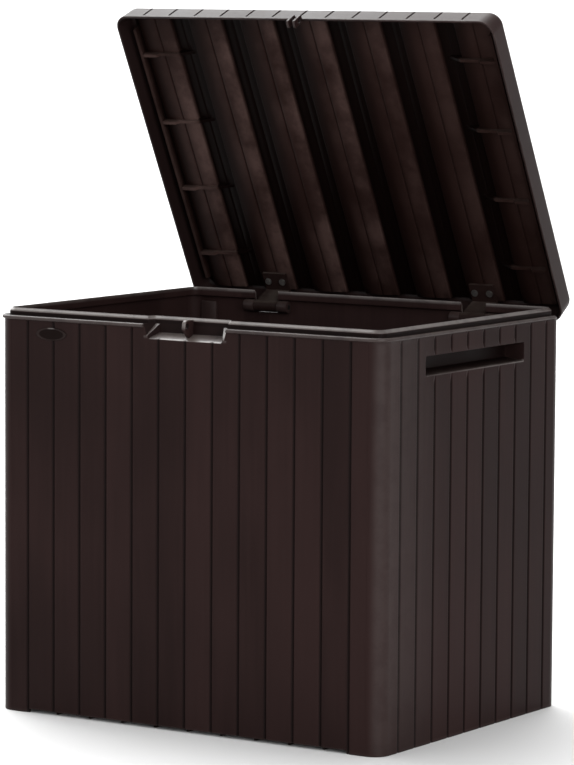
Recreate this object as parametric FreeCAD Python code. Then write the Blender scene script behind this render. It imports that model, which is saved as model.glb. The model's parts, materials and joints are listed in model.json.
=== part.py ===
import FreeCAD, Part
import math
import os

# Deck storage box: a small flat-pack resin box for a balcony or garden. Four planked wall panels and
# a floor make the box; a double-walled lid turns on two hinge pins at the top of the back panel.
# Millimetres. +X is the box's right as seen from the front, -Y its front, +Z up. The origin is the
# centre of the footprint, on the ground. Every piece is modelled with the lid closed; the lid's
# pieces are then turned to LID_OPEN, the angle at which the lid stands at rest.

# Driving dimensions
WIDTH = 578.0               # over the bead round the top of the walls
DEPTH = 440.0               # over the same bead
HEIGHT = 550.0              # closed, to the top of the lid's crown
BEAD = 3.0                  # how far the bead stands out of the wall
WALL = 4.0
CORNER_R = 21.0             # outer radius of the box's vertical corners
LEAST_R = 2.0               # no outline inside it turns tighter than this
PITCH = 40.0                # width of one plank of the front, the back and the lid
SIDE_PITCH = 39.0           # width of one plank of the sides
LID_OPEN = 63.0             # degrees from closed

# Walls
HALF_X = WIDTH / 2 - BEAD
HALF_Y = DEPTH / 2 - BEAD
SEAM_X = HALF_X - CORNER_R  # the side panels wrap round the corners as far as this
SEAM_GAP = 0.2
BEAD_BOTTOM = 500.0
LEDGE_TOP = 507.0           # top of the bead and of the ledge behind it
REAR_LEDGE_TOP = 503.0      # lower at the back, where the lid's skirt swings past
LEDGE = 4.5                 # thickness of the ledge that carries the rim
RIM_TOP = 514.0
RIM_OUT = 6.5               # the rim stands this far inside the wall's face
RIM_IN = 10.0
GROOVE_W = 5.0
GROOVE_D = 2.0
FRONT_GROOVES = 6           # grooves each side of the middle one
SIDE_GROOVES = 5            # grooves each side of the middle plank
FOOT_X = 238.0              # the front and back edges are raised between the feet
FOOT_H = 4.5
SHELF_Z = 8.0               # shelf that the floor panel lies on
SHELF_H = 4.0
SHELF_IN = 9.0

# Lap joints between the panels, and their screws
LAP_X = 243.0
LAP_T = 3.0
LAP_BOTTOM = 20.0
LAP_TOP = 495.0
SCREW_X = 254.0
SCREW_Z = (60.0, 250.0, 440.0)
SCREW_R = 1.75
SCREW_HEAD_R = 4.5
SCREW_HEAD_H = 2.0
SCREW_BITE = 2.5            # depth of the screw's end in the outer panel

# Latch recess in the front panel, with the padlock staple in its middle
RECESS_TOP_X = 62.5         # half width at the wall's face, at the height of the ledge
RECESS_FOOT_X = 57.0        # half width at its foot
RECESS_Z = 487.0
RECESS_DEPTH = 15.0
RECESS_RISE = 6.8           # the sill rises by this much from front to back
RECESS_CANT = 8.0           # each end leans in by this much from front to back
RECESS_SKIN = 3.5
GUSSET_T = 4.5              # a ramp stands along each end of the recess
GUSSET_LOW = 490.5
GUSSET_HIGH = 504.5
STAPLE_T = 5.0
STAPLE_TOP = 512.0
LOCK_HOLE_R = 3.2
LOCK_Y = -214.5
LOCK_Z = 504.8
LOCK_OUT = 3.0              # how far staple and prongs stand out of the wall's face

# Grip pockets in the side panels
GRIP_HALF = 118.5
GRIP_BOTTOM = 453.0
GRIP_TOP = 476.3
GRIP_DEPTH = 26.0
GRIP_RISE = 4.0
GRIP_SKIN = 3.0

# Badge: a plain oval plate
BADGE_X = -202.5
BADGE_Z = 484.0
BADGE_HALF_W = 23.5
BADGE_HALF_H = 8.2
BADGE_T = 1.2
BADGE_PIN_R = 1.5
BADGE_PIN_X = 10.0
BADGE_PIN_L = 2.5

# Floor panel
FLOOR_T = 4.0
FLOOR_CLEAR = 0.2
RIB_T = 3.0
FLOOR_RIB_X = 5             # ribs across the box's width run at this many places each way
FLOOR_RIB_PITCH = 50.0
FLOOR_RIB_Y = 3
PAD_R = 30.0

# Hinges
HINGE_Y = 209.0
HINGE_Z = 493.0
HINGE_X = 160.0
PIN_R = 3.0
PIN_CLEAR = 0.05
BOSS_R = 8.0
BOSS_L = 16.0
KNUCKLE_R = 7.5
KNUCKLE_W = 36.0
KNUCKLE_GAP = 0.5
NOTCH_CLEAR = 0.8
ARM_T = 6.0
LUG_OUT = 5.8               # the lug stops the lid just past upright
LUG_H = 10.5
FOOT_PLATE_Y = 178.0
FOOT_PLATE_T = 3.5
ARM_SCREW_Y = 190.0
ARM_SCREW_DX = 11.0

# Lid
SKIRT_BOTTOM = 508.0
SKIRT_OUT = -1.5            # the skirt's face at its bottom edge, measured from the wall's face
SKIRT_T = 3.0
DRAFT = 3.0                 # the skirt leans in by this much
LID_EDGE_Z = 543.0
LID_EDGE_R = 10.0
CROWN_IN = 2.0              # the crown starts this far inside the corners' centres
CROWN_TOP = (140.0, 80.0)   # half size of the crown's flat middle
SLOT_W = 3.0
SLOT_D = 1.5
PRONG_GAP = 0.7             # between staple and prong
PRONG_T = 3.0
PRONG_Z = 492.0
PRONG_TOP = 512.0
PRONG_BACK = 209.5
NOTCH_TOP = 513.0           # the skirt is notched between the prongs, over the staple

# Lid liner: a folded sheet, with flat ribs from front to back and channels between them
LINER_Z = 536.0             # underside of the channels
RIB_Z = 529.0               # underside of the ribs
LINER_T = 2.5
LINER_IN = 12.5             # the liner's edge, measured in from the wall's face
LINER_TOP = 538.0
SPACER_IN = 17.5            # the upright edge that meets the lid's skin
RIB_PITCH = 80.0
RIB_COUNT = 3               # ribs each side of the middle one
RIB_HALF = 25.0
RIB_LEAN = 2.5              # each flank spreads by this much
RIB_SLIT = 3.0              # shallow slot down the middle of a rib
RIB_SLIT_D = 1.5
DIVIDER_Z = (526.0, 522.0)     # lower edge inside and outside its step
DIVIDER_T = 4.5
DIVIDER_Y = (-150.0, -50.0, 50.0, 150.0)
DIVIDER_X = (192.0, 215.0, 242.0, 246.0, 271.0)   # its slope, its step and its outer end
EDGE_RAIL_X = (266.5, 271.0)
EDGE_RAIL_Y = 190.0


def block(x0, x1, y0, y1, z0, z1):
    """A plain block between two corners."""
    return Part.makeBox(x1 - x0, y1 - y0, z1 - z0, FreeCAD.Vector(x0, y0, z0))


def rod(radius, start, end):
    """A cylinder from one point to another."""
    a = FreeCAD.Vector(*start)
    way = FreeCAD.Vector(*end) - a
    return Part.makeCylinder(radius, way.Length, a, way)


def prism(points, way):
    """A flat outline, given as points, pushed along a vector."""
    corners = [FreeCAD.Vector(*p) for p in points]
    face = Part.Face(Part.makePolygon(corners + corners[:1]))
    return face.extrude(FreeCAD.Vector(*way))


def outline(out, z):
    """The box's plan outline, a rectangle with round corners, moved out of the wall's face by out."""
    x, y, r = HALF_X + out, HALF_Y + out, max(CORNER_R + out, LEAST_R)
    up = FreeCAD.Vector(0, 0, 1)
    edges = []
    for k in range(4):
        sx = (1, -1, -1, 1)[k]
        sy = (1, 1, -1, -1)[k]
        centre = FreeCAD.Vector(sx * (x - r), sy * (y - r), z)
        arc = Part.makeCircle(r, centre, up, 90.0 * k, 90.0 * (k + 1))
        edges.append(arc)
    wire = []
    for k in range(4):
        wire.append(edges[k])
        start = edges[k].Vertexes[-1].Point
        end = edges[(k + 1) % 4].Vertexes[0].Point
        wire.append(Part.makeLine(start, end))
    return Part.Wire(wire)


def plan(out, z0, z1):
    """The plan outline pushed up from z0 to z1."""
    return Part.Face(outline(out, z0)).extrude(FreeCAD.Vector(0, 0, z1 - z0))


def ring(out, inner, z0, z1):
    """A wall that follows the plan outline, between two offsets from the wall's face."""
    return plan(out, z0, z1).cut(plan(inner, z0, z1))


def fused(shapes):
    """Several solids made one."""
    whole = shapes[0].multiFuse(shapes[1:]) if len(shapes) > 1 else shapes[0]
    return whole.removeSplitter()


def groove(x, y, angle):
    """One V groove down a wall, cut in from the point x, y on its face."""
    half = GROOVE_W / 2
    points = ((-half, -1.0, 0.0), (half, -1.0, 0.0), (half, 0.0, 0.0), (0.0, GROOVE_D, 0.0), (-half, 0.0, 0.0))
    tool = prism(points, (0.0, 0.0, BEAD_BOTTOM))
    tool.rotate(FreeCAD.Vector(0, 0, 0), FreeCAD.Vector(0, 0, 1), angle)
    tool.translate(FreeCAD.Vector(x, y, 0))
    return tool


def grooves():
    """The grooves between the planks, round all four walls."""
    tools = []
    for k in range(-FRONT_GROOVES, FRONT_GROOVES + 1):
        tools.append(groove(k * PITCH, -HALF_Y, 0.0))
        tools.append(groove(k * PITCH, HALF_Y, 180.0))
    for k in range(-SIDE_GROOVES, SIDE_GROOVES):
        tools.append(groove(HALF_X, (k + 0.5) * SIDE_PITCH, 90.0))
        tools.append(groove(-HALF_X, (k + 0.5) * SIDE_PITCH, -90.0))
    return Part.makeCompound(tools)


def walls():
    """All four walls as one ring: wall, bead, ledge, rim and floor shelf, with the grooves cut."""
    wall = ring(0.0, -WALL, 0.0, LEDGE_TOP)
    bead = ring(BEAD, -WALL, BEAD_BOTTOM, LEDGE_TOP)
    ledge = ring(0.0, -RIM_IN, LEDGE_TOP - LEDGE, LEDGE_TOP)
    rim = ring(-RIM_OUT, -RIM_IN, LEDGE_TOP - LEDGE, RIM_TOP)
    shelf = ring(-WALL, -SHELF_IN, SHELF_Z, SHELF_Z + SHELF_H)
    whole = fused([wall, bead, ledge, rim, shelf])
    rear = block(-WIDTH, WIDTH, HALF_Y - CORNER_R, DEPTH, 0.0, HEIGHT)
    bead_off = ring(BEAD + 1, 0.0, BEAD_BOTTOM - 1, HEIGHT).common(rear)
    ledge_off = ring(BEAD + 1, -RIM_OUT, REAR_LEDGE_TOP, HEIGHT).common(rear)
    arch = block(-FOOT_X, FOOT_X, -DEPTH, DEPTH, 0.0, FOOT_H)
    return whole.cut(bead_off).cut(ledge_off).cut(arch).cut(grooves())


def hexahedron(foot, head):
    """A solid with six flat faces, from one four-sided outline to another."""
    foot = [FreeCAD.Vector(*p) for p in foot]
    head = [FreeCAD.Vector(*p) for p in head]
    rings = [foot, head]
    for k in range(4):
        n = (k + 1) % 4
        rings.append([foot[k], foot[n], head[n], head[k]])
    faces = [Part.Face(Part.makePolygon(ring_points + ring_points[:1])) for ring_points in rings]
    solid = Part.Solid(Part.Shell(faces))
    solid.fixTolerance(0.0001)
    return solid if solid.Volume > 0 else solid.reversed()


def recess_form(front, back, skin, top):
    """The recess as a solid form, grown by a skin, between two depths behind the wall's face."""
    flare = (RECESS_TOP_X - RECESS_FOOT_X) / (LEDGE_TOP - RECESS_Z)
    ends = []
    for depth in (front, back):
        rise = RECESS_RISE * depth / RECESS_DEPTH
        low = RECESS_Z + rise - skin
        x0 = RECESS_FOOT_X + skin + flare * rise - RECESS_CANT * depth / RECESS_DEPTH
        x1 = x0 + flare * (top - low)
        y = depth - HALF_Y
        ends.append(((-x0, y, low), (x0, y, low), (x1, y, top), (-x1, y, top)))
    return hexahedron(ends[0], ends[1])


def gusset(side):
    """The ramp along one end of the recess, from the foot of the sill up to the back."""
    x0 = RECESS_FOOT_X
    x1 = RECESS_FOOT_X - RECESS_CANT
    front = -HALF_Y
    back = front + RECESS_DEPTH
    low = RECESS_Z - 1.0
    corners = ((x0, front), (x1, back), (x1 + GUSSET_T, back), (x0 + GUSSET_T, front))
    strip = prism([(side * x, y, low) for x, y in corners], (0, 0, RIM_TOP - low))
    profile = ((front, low), (front, GUSSET_LOW), (back, GUSSET_HIGH), (back, low))
    return strip.common(prism([(-WIDTH, y, z) for y, z in profile], (2 * WIDTH, 0, 0)))


def staple():
    """The upright plate in the middle of the recess that a padlock goes through."""
    front = -HALF_Y - LOCK_OUT
    back = -HALF_Y + RECESS_DEPTH + 1.0
    profile = ((back, RECESS_Z), (-HALF_Y, RECESS_Z - 1.0), (front, RECESS_Z + 2.0), (front, STAPLE_TOP - 4.5),
               (front + 1.5, STAPLE_TOP - 1.5), (front + 4.5, STAPLE_TOP), (back, STAPLE_TOP))
    plate = prism([(-STAPLE_T / 2, y, z) for y, z in profile], (STAPLE_T, 0, 0))
    return plate.cut(rod(LOCK_HOLE_R, (-STAPLE_T, LOCK_Y, LOCK_Z), (STAPLE_T, LOCK_Y, LOCK_Z)))


def front_panel(shell):
    """Front panel: planks, bead and rim, the latch recess and the staple for a padlock."""
    half = SEAM_X - SEAM_GAP / 2
    panel = shell.common(block(-half, half, -DEPTH, -HALF_Y / 2, 0.0, HEIGHT))
    lining = recess_form(0.5, RECESS_DEPTH + RECESS_SKIN, RECESS_SKIN, RIM_TOP)
    lining = lining.cut(block(-WIDTH, WIDTH, -DEPTH, -HALF_Y + RIM_OUT, LEDGE_TOP, HEIGHT))
    space = recess_form(-BEAD - 1.0, RECESS_DEPTH, 0.0, HEIGHT)
    panel = fused([panel, lining]).cut(space)
    return fused([panel, staple(), gusset(-1), gusset(1)])


def hinge_bosses(x):
    """The two bosses on the back panel that hold one hinge pin."""
    inner = KNUCKLE_W / 2 + KNUCKLE_GAP
    bosses = []
    for side in (-1, 1):
        start = (x + side * inner, HINGE_Y, HINGE_Z)
        end = (x + side * (inner + BOSS_L), HINGE_Y, HINGE_Z)
        bosses.append(rod(BOSS_R, start, end))
    return bosses


def back_panel(shell):
    """Back panel: planks and rim, with a notch and two bosses for each hinge."""
    half = SEAM_X - SEAM_GAP / 2
    panel = shell.common(block(-half, half, HALF_Y / 2, DEPTH, 0.0, HEIGHT))
    notch_half = KNUCKLE_W / 2 + KNUCKLE_GAP
    sill = HINGE_Z - KNUCKLE_R - NOTCH_CLEAR
    for x in (-HINGE_X, HINGE_X):
        panel = panel.cut(block(x - notch_half, x + notch_half, HALF_Y / 2, DEPTH, sill, HEIGHT))
        panel = fused([panel] + hinge_bosses(x))
        panel = panel.cut(hinge_pin(x))
    return panel


def hinge_pin(x):
    """One hinge pin, pressed into the back panel's bosses."""
    reach = KNUCKLE_W / 2 + KNUCKLE_GAP + BOSS_L
    return rod(PIN_R, (x - reach, HINGE_Y, HINGE_Z), (x + reach, HINGE_Y, HINGE_Z))


def grip(side, skin):
    """The hand pocket in a side panel, or, with a skin, the cup that lines it."""
    face = HALF_X + 1.0 if skin == 0.0 else HALF_X - 0.5
    depth = HALF_X - GRIP_DEPTH - skin
    low = GRIP_BOTTOM - skin
    high = GRIP_TOP + skin
    reach = GRIP_HALF + skin
    points = ((face, -reach, low), (depth, -reach, low + GRIP_RISE), (depth, -reach, high), (face, -reach, high))
    return prism([(side * p[0], p[1], p[2]) for p in points], (0, 2 * reach, 0))


def lap(side, end):
    """The flange by which a side panel laps behind the front or back panel."""
    y0 = HALF_Y - WALL - LAP_T
    y1 = HALF_Y - WALL
    xs = sorted((side * LAP_X, side * (SEAM_X + 2.0)))
    ys = sorted((end * y0, end * y1))
    return block(xs[0], xs[1], ys[0], ys[1], LAP_BOTTOM, LAP_TOP)


def side_panel(shell, side):
    """Side panel: planks, both corners, the laps at its ends and the grip pocket."""
    xs = sorted((side * (SEAM_X + SEAM_GAP / 2), side * WIDTH))
    panel = shell.common(block(xs[0], xs[1], -DEPTH, DEPTH, 0.0, HEIGHT))
    panel = fused([panel, lap(side, -1), lap(side, 1), grip(side, GRIP_SKIN)])
    return panel.cut(grip(side, 0.0))


def panel_screws():
    """The screws through the laps, three at each seam, driven from inside the box."""
    screws = []
    under_head = HALF_Y - WALL - LAP_T
    for side in (-1, 1):
        for end in (-1, 1):
            for z in SCREW_Z:
                x = side * SCREW_X
                shank = rod(SCREW_R, (x, end * under_head, z), (x, end * (HALF_Y - WALL + SCREW_BITE), z))
                head = rod(SCREW_HEAD_R, (x, end * (under_head - SCREW_HEAD_H), z), (x, end * under_head, z))
                screws.append(fused([head, shank]))
    return screws


def floor_panel():
    """Floor panel: a plate on the walls' shelf, with ribs and a round pad down to the ground."""
    top = SHELF_Z + SHELF_H
    reach = SHELF_IN + FLOOR_CLEAR + 0.3
    pieces = [plan(-WALL - FLOOR_CLEAR, top, top + FLOOR_T)]
    for k in range(-FLOOR_RIB_X, FLOOR_RIB_X + 1):
        x = k * FLOOR_RIB_PITCH
        pieces.append(block(x - RIB_T / 2, x + RIB_T / 2, -HALF_Y + reach, HALF_Y - reach, 0.0, top))
    for k in range(-FLOOR_RIB_Y, FLOOR_RIB_Y + 1):
        y = k * FLOOR_RIB_PITCH
        pieces.append(block(-HALF_X + reach, HALF_X - reach, y - RIB_T / 2, y + RIB_T / 2, 0.0, top))
    pieces.append(rod(PAD_R, (0, 0, 0), (0, 0, top)))
    return fused(pieces)


def badge():
    """A plain oval plate with two pins that snap into the front panel."""
    face = -HALF_Y
    middle = FreeCAD.Vector(BADGE_X, face, BADGE_Z)
    side_end = middle + FreeCAD.Vector(BADGE_HALF_W, 0, 0)
    top_end = middle + FreeCAD.Vector(0, 0, BADGE_HALF_H)
    oval = Part.Ellipse(side_end, top_end, middle).toShape()
    plate = Part.Face(Part.Wire(oval)).extrude(FreeCAD.Vector(0, -BADGE_T, 0))
    pins = []
    for side in (-1, 1):
        x = BADGE_X + side * BADGE_PIN_X
        pins.append(rod(BADGE_PIN_R, (x, face, BADGE_Z), (x, face + BADGE_PIN_L, BADGE_Z)))
    return fused([plate] + pins)


def frustum(low, high, z0, z1):
    """A four-sided solid with flat faces, from one half-size rectangle up to a smaller one."""
    signs = ((-1, -1), (1, -1), (1, 1), (-1, 1))
    foot = [(sx * low[0], sy * low[1], z0) for sx, sy in signs]
    head = [(sx * high[0], sy * high[1], z1) for sx, sy in signs]
    return hexahedron(foot, head)


def lid_section(inset):
    """Half of the lid's section at its rim: the drafted skirt, the round edge and the flat top."""
    lean = math.atan2(DRAFT, LID_EDGE_Z - SKIRT_BOTTOM)
    radius = LID_EDGE_R - inset
    arc_z = LID_EDGE_Z - LID_EDGE_R
    arc_x = CORNER_R + SKIRT_OUT - (arc_z - SKIRT_BOTTOM) * math.tan(lean) - LID_EDGE_R / math.cos(lean)

    def on_arc(angle):
        return FreeCAD.Vector(arc_x + radius * math.cos(angle), 0, arc_z + radius * math.sin(angle))

    low_z = SKIRT_BOTTOM - inset
    bend = on_arc(lean)
    foot = FreeCAD.Vector(bend.x + (bend.z - low_z) * math.tan(lean), 0, low_z)
    top = on_arc(math.pi / 2)
    arc = Part.Arc(bend, on_arc((lean + math.pi / 2) / 2), top).toShape()
    inner_top = FreeCAD.Vector(0, 0, LID_EDGE_Z - inset)
    inner_foot = FreeCAD.Vector(0, 0, low_z)
    lines = [Part.makeLine(inner_foot, foot), Part.makeLine(foot, bend), arc]
    lines += [Part.makeLine(top, inner_top), Part.makeLine(inner_top, inner_foot)]
    return Part.Face(Part.Wire(lines))


def lid_hull(inset):
    """The outer form of the lid, or that form moved in by inset: a rim of four straight runs and
    four turned corners round a flat middle, with a shallow crown on it."""
    section = lid_section(inset)
    up = FreeCAD.Vector(0, 0, 1)
    deep = HALF_Y - CORNER_R
    pieces = [block(-SEAM_X, SEAM_X, -deep, deep, SKIRT_BOTTOM - inset, LID_EDGE_Z - inset)]
    for k in range(4):
        turn = 90.0 * k
        sx = (1, -1, -1, 1)[k]
        sy = (1, 1, -1, -1)[k]
        run = 2 * (deep if k % 2 == 0 else SEAM_X)
        corner = section.revolve(FreeCAD.Vector(0, 0, 0), up, 90.0)
        side = section.extrude(FreeCAD.Vector(0, -run, 0))
        for piece in (corner, side):
            piece.rotate(FreeCAD.Vector(0, 0, 0), up, turn)
            piece.translate(FreeCAD.Vector(sx * SEAM_X, sy * deep, 0))
            pieces.append(piece)
    low = (SEAM_X - CROWN_IN, deep - CROWN_IN)
    base = LID_EDGE_Z - inset
    pieces.append(frustum(low, CROWN_TOP, base, base + HEIGHT - LID_EDGE_Z))
    return fused(pieces)


def prongs():
    """The two prongs under the lid's front edge; a padlock's shackle goes through them and the staple."""
    pieces = []
    for side in (-1, 1):
        near = STAPLE_T / 2 + PRONG_GAP
        xs = sorted((side * near, side * (near + PRONG_T)))
        prong = block(xs[0], xs[1], -HALF_Y - LOCK_OUT, -PRONG_BACK, PRONG_Z, PRONG_TOP)
        pieces.append(prong.cut(rod(LOCK_HOLE_R, (xs[0] - 1, LOCK_Y, LOCK_Z), (xs[1] + 1, LOCK_Y, LOCK_Z))))
    return pieces


def lid_shell():
    """The lid's outer skin, with the slots between its planks and the two lock prongs."""
    outer = lid_hull(0.0)
    shell = outer.cut(lid_hull(SKIRT_T))
    slots = []
    for k in range(-FRONT_GROOVES, FRONT_GROOVES + 1):
        x = k * PITCH
        slots.append(block(x - SLOT_W / 2, x + SLOT_W / 2, -DEPTH, DEPTH, 0.0, 2 * HEIGHT))
    skin = outer.cut(lid_hull(SLOT_D))
    shell = shell.cut(skin.common(Part.makeCompound(slots)))
    half = STAPLE_T / 2 + PRONG_GAP
    shell = shell.cut(block(-half, half, -DEPTH, -PRONG_BACK, 0.0, NOTCH_TOP))
    return fused([shell] + prongs())


def folds(skin):
    """Everything above the liner's folded underside, or above its upper face if a skin is given."""
    half = RIB_HALF - 0.6 * skin
    points = [(-WIDTH, 0, LINER_Z + skin)]
    for k in range(-RIB_COUNT, RIB_COUNT + 1):
        x = k * RIB_PITCH
        points += [(x - half - RIB_LEAN, 0, LINER_Z + skin), (x - half, 0, RIB_Z + skin)]
        if skin == 0.0:
            points += [(x - RIB_SLIT / 2, 0, RIB_Z), (x - RIB_SLIT / 2, 0, RIB_Z + RIB_SLIT_D)]
            points += [(x + RIB_SLIT / 2, 0, RIB_Z + RIB_SLIT_D), (x + RIB_SLIT / 2, 0, RIB_Z)]
        points += [(x + half, 0, RIB_Z + skin), (x + half + RIB_LEAN, 0, LINER_Z + skin)]
    points += [(WIDTH, 0, LINER_Z + skin), (WIDTH, 0, HEIGHT), (-WIDTH, 0, HEIGHT)]
    return prism([(p[0], -DEPTH, p[2]) for p in points], (0, 2 * DEPTH, 0))


def liner_form(skin):
    """The liner as a solid form, or, with a skin, the space inside it, which is open at the top."""
    low = plan(-LINER_IN - skin, SKIRT_BOTTOM, LINER_TOP - skin)
    high = plan(-SPACER_IN - skin, SKIRT_BOTTOM, LID_EDGE_Z - SKIRT_T + 0.4 * skin)
    return fused([low, high]).common(folds(skin))


def divider(side, y):
    """One divider across a side rib of the liner, stepped, and sloping away into the channel beside it."""
    foot, top, step_in, step_out, end = DIVIDER_X
    inside, outside = DIVIDER_Z
    points = ((foot, LINER_Z), (top, inside), (step_in, inside), (step_out, outside), (end, outside),
              (end, LINER_Z + 0.5), (foot, LINER_Z + 0.5))
    return prism([(side * p[0], y - DIVIDER_T / 2, p[1]) for p in points], (0, DIVIDER_T, 0))


def lid_liner():
    """The lid's inner panel: a folded sheet with an upright edge, dividers and a rail down each side."""
    pieces = [liner_form(0.0).cut(liner_form(LINER_T))]
    for side in (-1, 1):
        xs = sorted(side * x for x in EDGE_RAIL_X)
        pieces.append(block(xs[0], xs[1], -EDGE_RAIL_Y, EDGE_RAIL_Y, DIVIDER_Z[1], LINER_Z + 0.5))
        for y in DIVIDER_Y:
            pieces.append(divider(side, y))
    return fused(pieces)


def hinge_arm(x):
    """A hinge arm: foot plate under the liner's rib, web, knuckle round the pin, and the stop lug."""
    x0 = x - KNUCKLE_W / 2
    x1 = x + KNUCKLE_W / 2
    foot = block(x0, x1, FOOT_PLATE_Y, HINGE_Y, RIB_Z - FOOT_PLATE_T, RIB_Z)
    web = block(x0, x1, HINGE_Y - ARM_T, HINGE_Y, HINGE_Z, RIB_Z)
    lug = block(x0, x1, HINGE_Y - 1.0, HINGE_Y + LUG_OUT, HINGE_Z, HINGE_Z + LUG_H)
    knuckle = rod(KNUCKLE_R, (x0, HINGE_Y, HINGE_Z), (x1, HINGE_Y, HINGE_Z))
    bore = rod(PIN_R + PIN_CLEAR, (x0 - 1, HINGE_Y, HINGE_Z), (x1 + 1, HINGE_Y, HINGE_Z))
    return fused([foot, web, lug, knuckle]).cut(bore)


def arm_screws():
    """The screws that hold the hinge arms to the liner, two to an arm."""
    screws = []
    under_head = RIB_Z - FOOT_PLATE_T
    for x in (-HINGE_X, HINGE_X):
        for dx in (-ARM_SCREW_DX, ARM_SCREW_DX):
            at = (x + dx, ARM_SCREW_Y)
            head = rod(SCREW_HEAD_R, at + (under_head - SCREW_HEAD_H,), at + (under_head,))
            shank = rod(SCREW_R, at + (under_head,), at + (RIB_Z + LINER_T - 0.5,))
            screws.append(fused([head, shank]))
    return screws


def opened(shape):
    """A lid piece turned from closed to the angle at which the lid stands."""
    turned = shape.copy()
    turned.rotate(FreeCAD.Vector(0, HINGE_Y, HINGE_Z), FreeCAD.Vector(1, 0, 0), -LID_OPEN)
    return turned


def build():
    """Every node's shape, at rest."""
    shell = walls()
    screws = Part.makeCompound(panel_screws())
    lid_screws = Part.makeCompound(arm_screws())
    plate = badge()
    nodes = {}
    nodes["front_panel"] = front_panel(shell).cut(screws).cut(plate)
    nodes["back_panel"] = back_panel(shell).cut(screws)
    nodes["left_panel"] = side_panel(shell, -1).cut(screws)
    nodes["right_panel"] = side_panel(shell, 1).cut(screws)
    nodes["floor_panel"] = floor_panel()
    nodes["front_badge"] = plate
    nodes["panel_screws"] = screws
    nodes["hinge_pin_left"] = hinge_pin(-HINGE_X)
    nodes["hinge_pin_right"] = hinge_pin(HINGE_X)
    nodes["lid_shell"] = opened(lid_shell())
    nodes["lid_liner"] = opened(lid_liner().cut(lid_screws))
    nodes["hinge_arm_left"] = opened(hinge_arm(-HINGE_X).cut(lid_screws))
    nodes["hinge_arm_right"] = opened(hinge_arm(HINGE_X).cut(lid_screws))
    nodes["arm_screws"] = opened(lid_screws)
    return nodes


os.makedirs("parts", exist_ok=True)
for name, shape in build().items():
    shape.exportStep("parts/" + name + ".step")
    box = shape.BoundBox
    low = (round(box.XMin, 1), round(box.YMin, 1), round(box.ZMin, 1))
    high = (round(box.XMax, 1), round(box.YMax, 1), round(box.ZMax, 1))
    print(name, len(shape.Solids), "solids", shape.isValid(), round(shape.Volume / 1000), "cm3", low, high)
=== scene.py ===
"""Deck storage box: the looks of a small planked resin box with its lid standing open.

Lengths inside the functions are millimetres, and mesh points become metres when a piece is made.
+X is the box's right seen from the front, -Y its front, +Z up. The lid's pieces are worked out with
the lid closed and then turned about the hinge line to the angle at which the lid stands."""
import json
import math

import bmesh
import bpy
import numpy as np
from bpy.props import FloatProperty, FloatVectorProperty, PointerProperty
from bpy.types import Operator, Panel, PropertyGroup
from mathutils import Matrix, Vector


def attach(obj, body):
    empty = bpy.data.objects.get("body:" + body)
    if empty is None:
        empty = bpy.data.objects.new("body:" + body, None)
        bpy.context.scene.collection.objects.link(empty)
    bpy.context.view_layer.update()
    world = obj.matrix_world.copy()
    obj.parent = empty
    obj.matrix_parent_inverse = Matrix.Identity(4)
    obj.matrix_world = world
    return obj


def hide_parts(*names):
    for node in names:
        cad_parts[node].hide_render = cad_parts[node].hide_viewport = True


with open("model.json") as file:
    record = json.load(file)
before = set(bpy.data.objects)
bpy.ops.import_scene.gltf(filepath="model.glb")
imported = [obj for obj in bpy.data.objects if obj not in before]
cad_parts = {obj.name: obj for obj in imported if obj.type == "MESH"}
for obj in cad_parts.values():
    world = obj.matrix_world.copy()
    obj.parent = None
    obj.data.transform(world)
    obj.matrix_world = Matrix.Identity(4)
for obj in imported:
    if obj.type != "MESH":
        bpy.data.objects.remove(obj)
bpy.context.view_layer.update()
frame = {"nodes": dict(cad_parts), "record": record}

bl_info = {
    "name": "Deck storage box",
    "version": (1, 0, 0),
    "blender": (4, 5, 0),
    "location": "View3D > Sidebar > Deck box",
    "description": "Builds the looks of a planked resin storage box around its CAD frame",
    "category": "Add Mesh",
}

MM = 0.001
WELD = 1e-6
BOX_BODY = "box"
LID_BODY = "lid"

# Places in millimetres that several pieces share
GROOVE_FADE, GROOVE_END = 499.1, 499.4    # heights where a wall's grooves run out
SILL = 487.0                              # height of the latch recess's lower edge
PADLOCK = (-214.5, 504.8)                 # the padlock hole's y and z
PADLOCK_R = 3.2
HINGE_X = 160.0                           # the hinges' middles, either side
NOTCH_HALF = 18.55                        # half the width of a hinge notch
LID_X, LID_Y = 265.0, 196.0               # centres of the lid's corners
LID_FOOT, LID_EDGE = 508.0, 543.0         # heights of the shut lid's lower and upper edges
RIB_PITCH = 80.0
CORNER = 900.0                            # stands for a place along a side that is in a corner
RAIL_X = 268.75                           # middle of a rail under the lid
DIVIDERS = np.array([-150.0, -50.0, 50.0, 150.0])


# Sizes and colours that a user would change

def length(name, text, default):
    """A length property, in metres."""
    return FloatProperty(name=name, description=text, default=default, unit="LENGTH", precision=4)


def colour(name, text, default):
    """A colour property."""
    return FloatVectorProperty(
        name=name, description=text, default=default, size=3, subtype="COLOR", min=0, max=1)


def turning(name, text, degrees):
    """An angle property, given in degrees."""
    return FloatProperty(name=name, description=text, default=math.radians(degrees), subtype="ANGLE")


def bright(name, text, default):
    """The brightness of a part of the surround."""
    return FloatProperty(name=name, description="Brightness of " + text, default=default)


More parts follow.
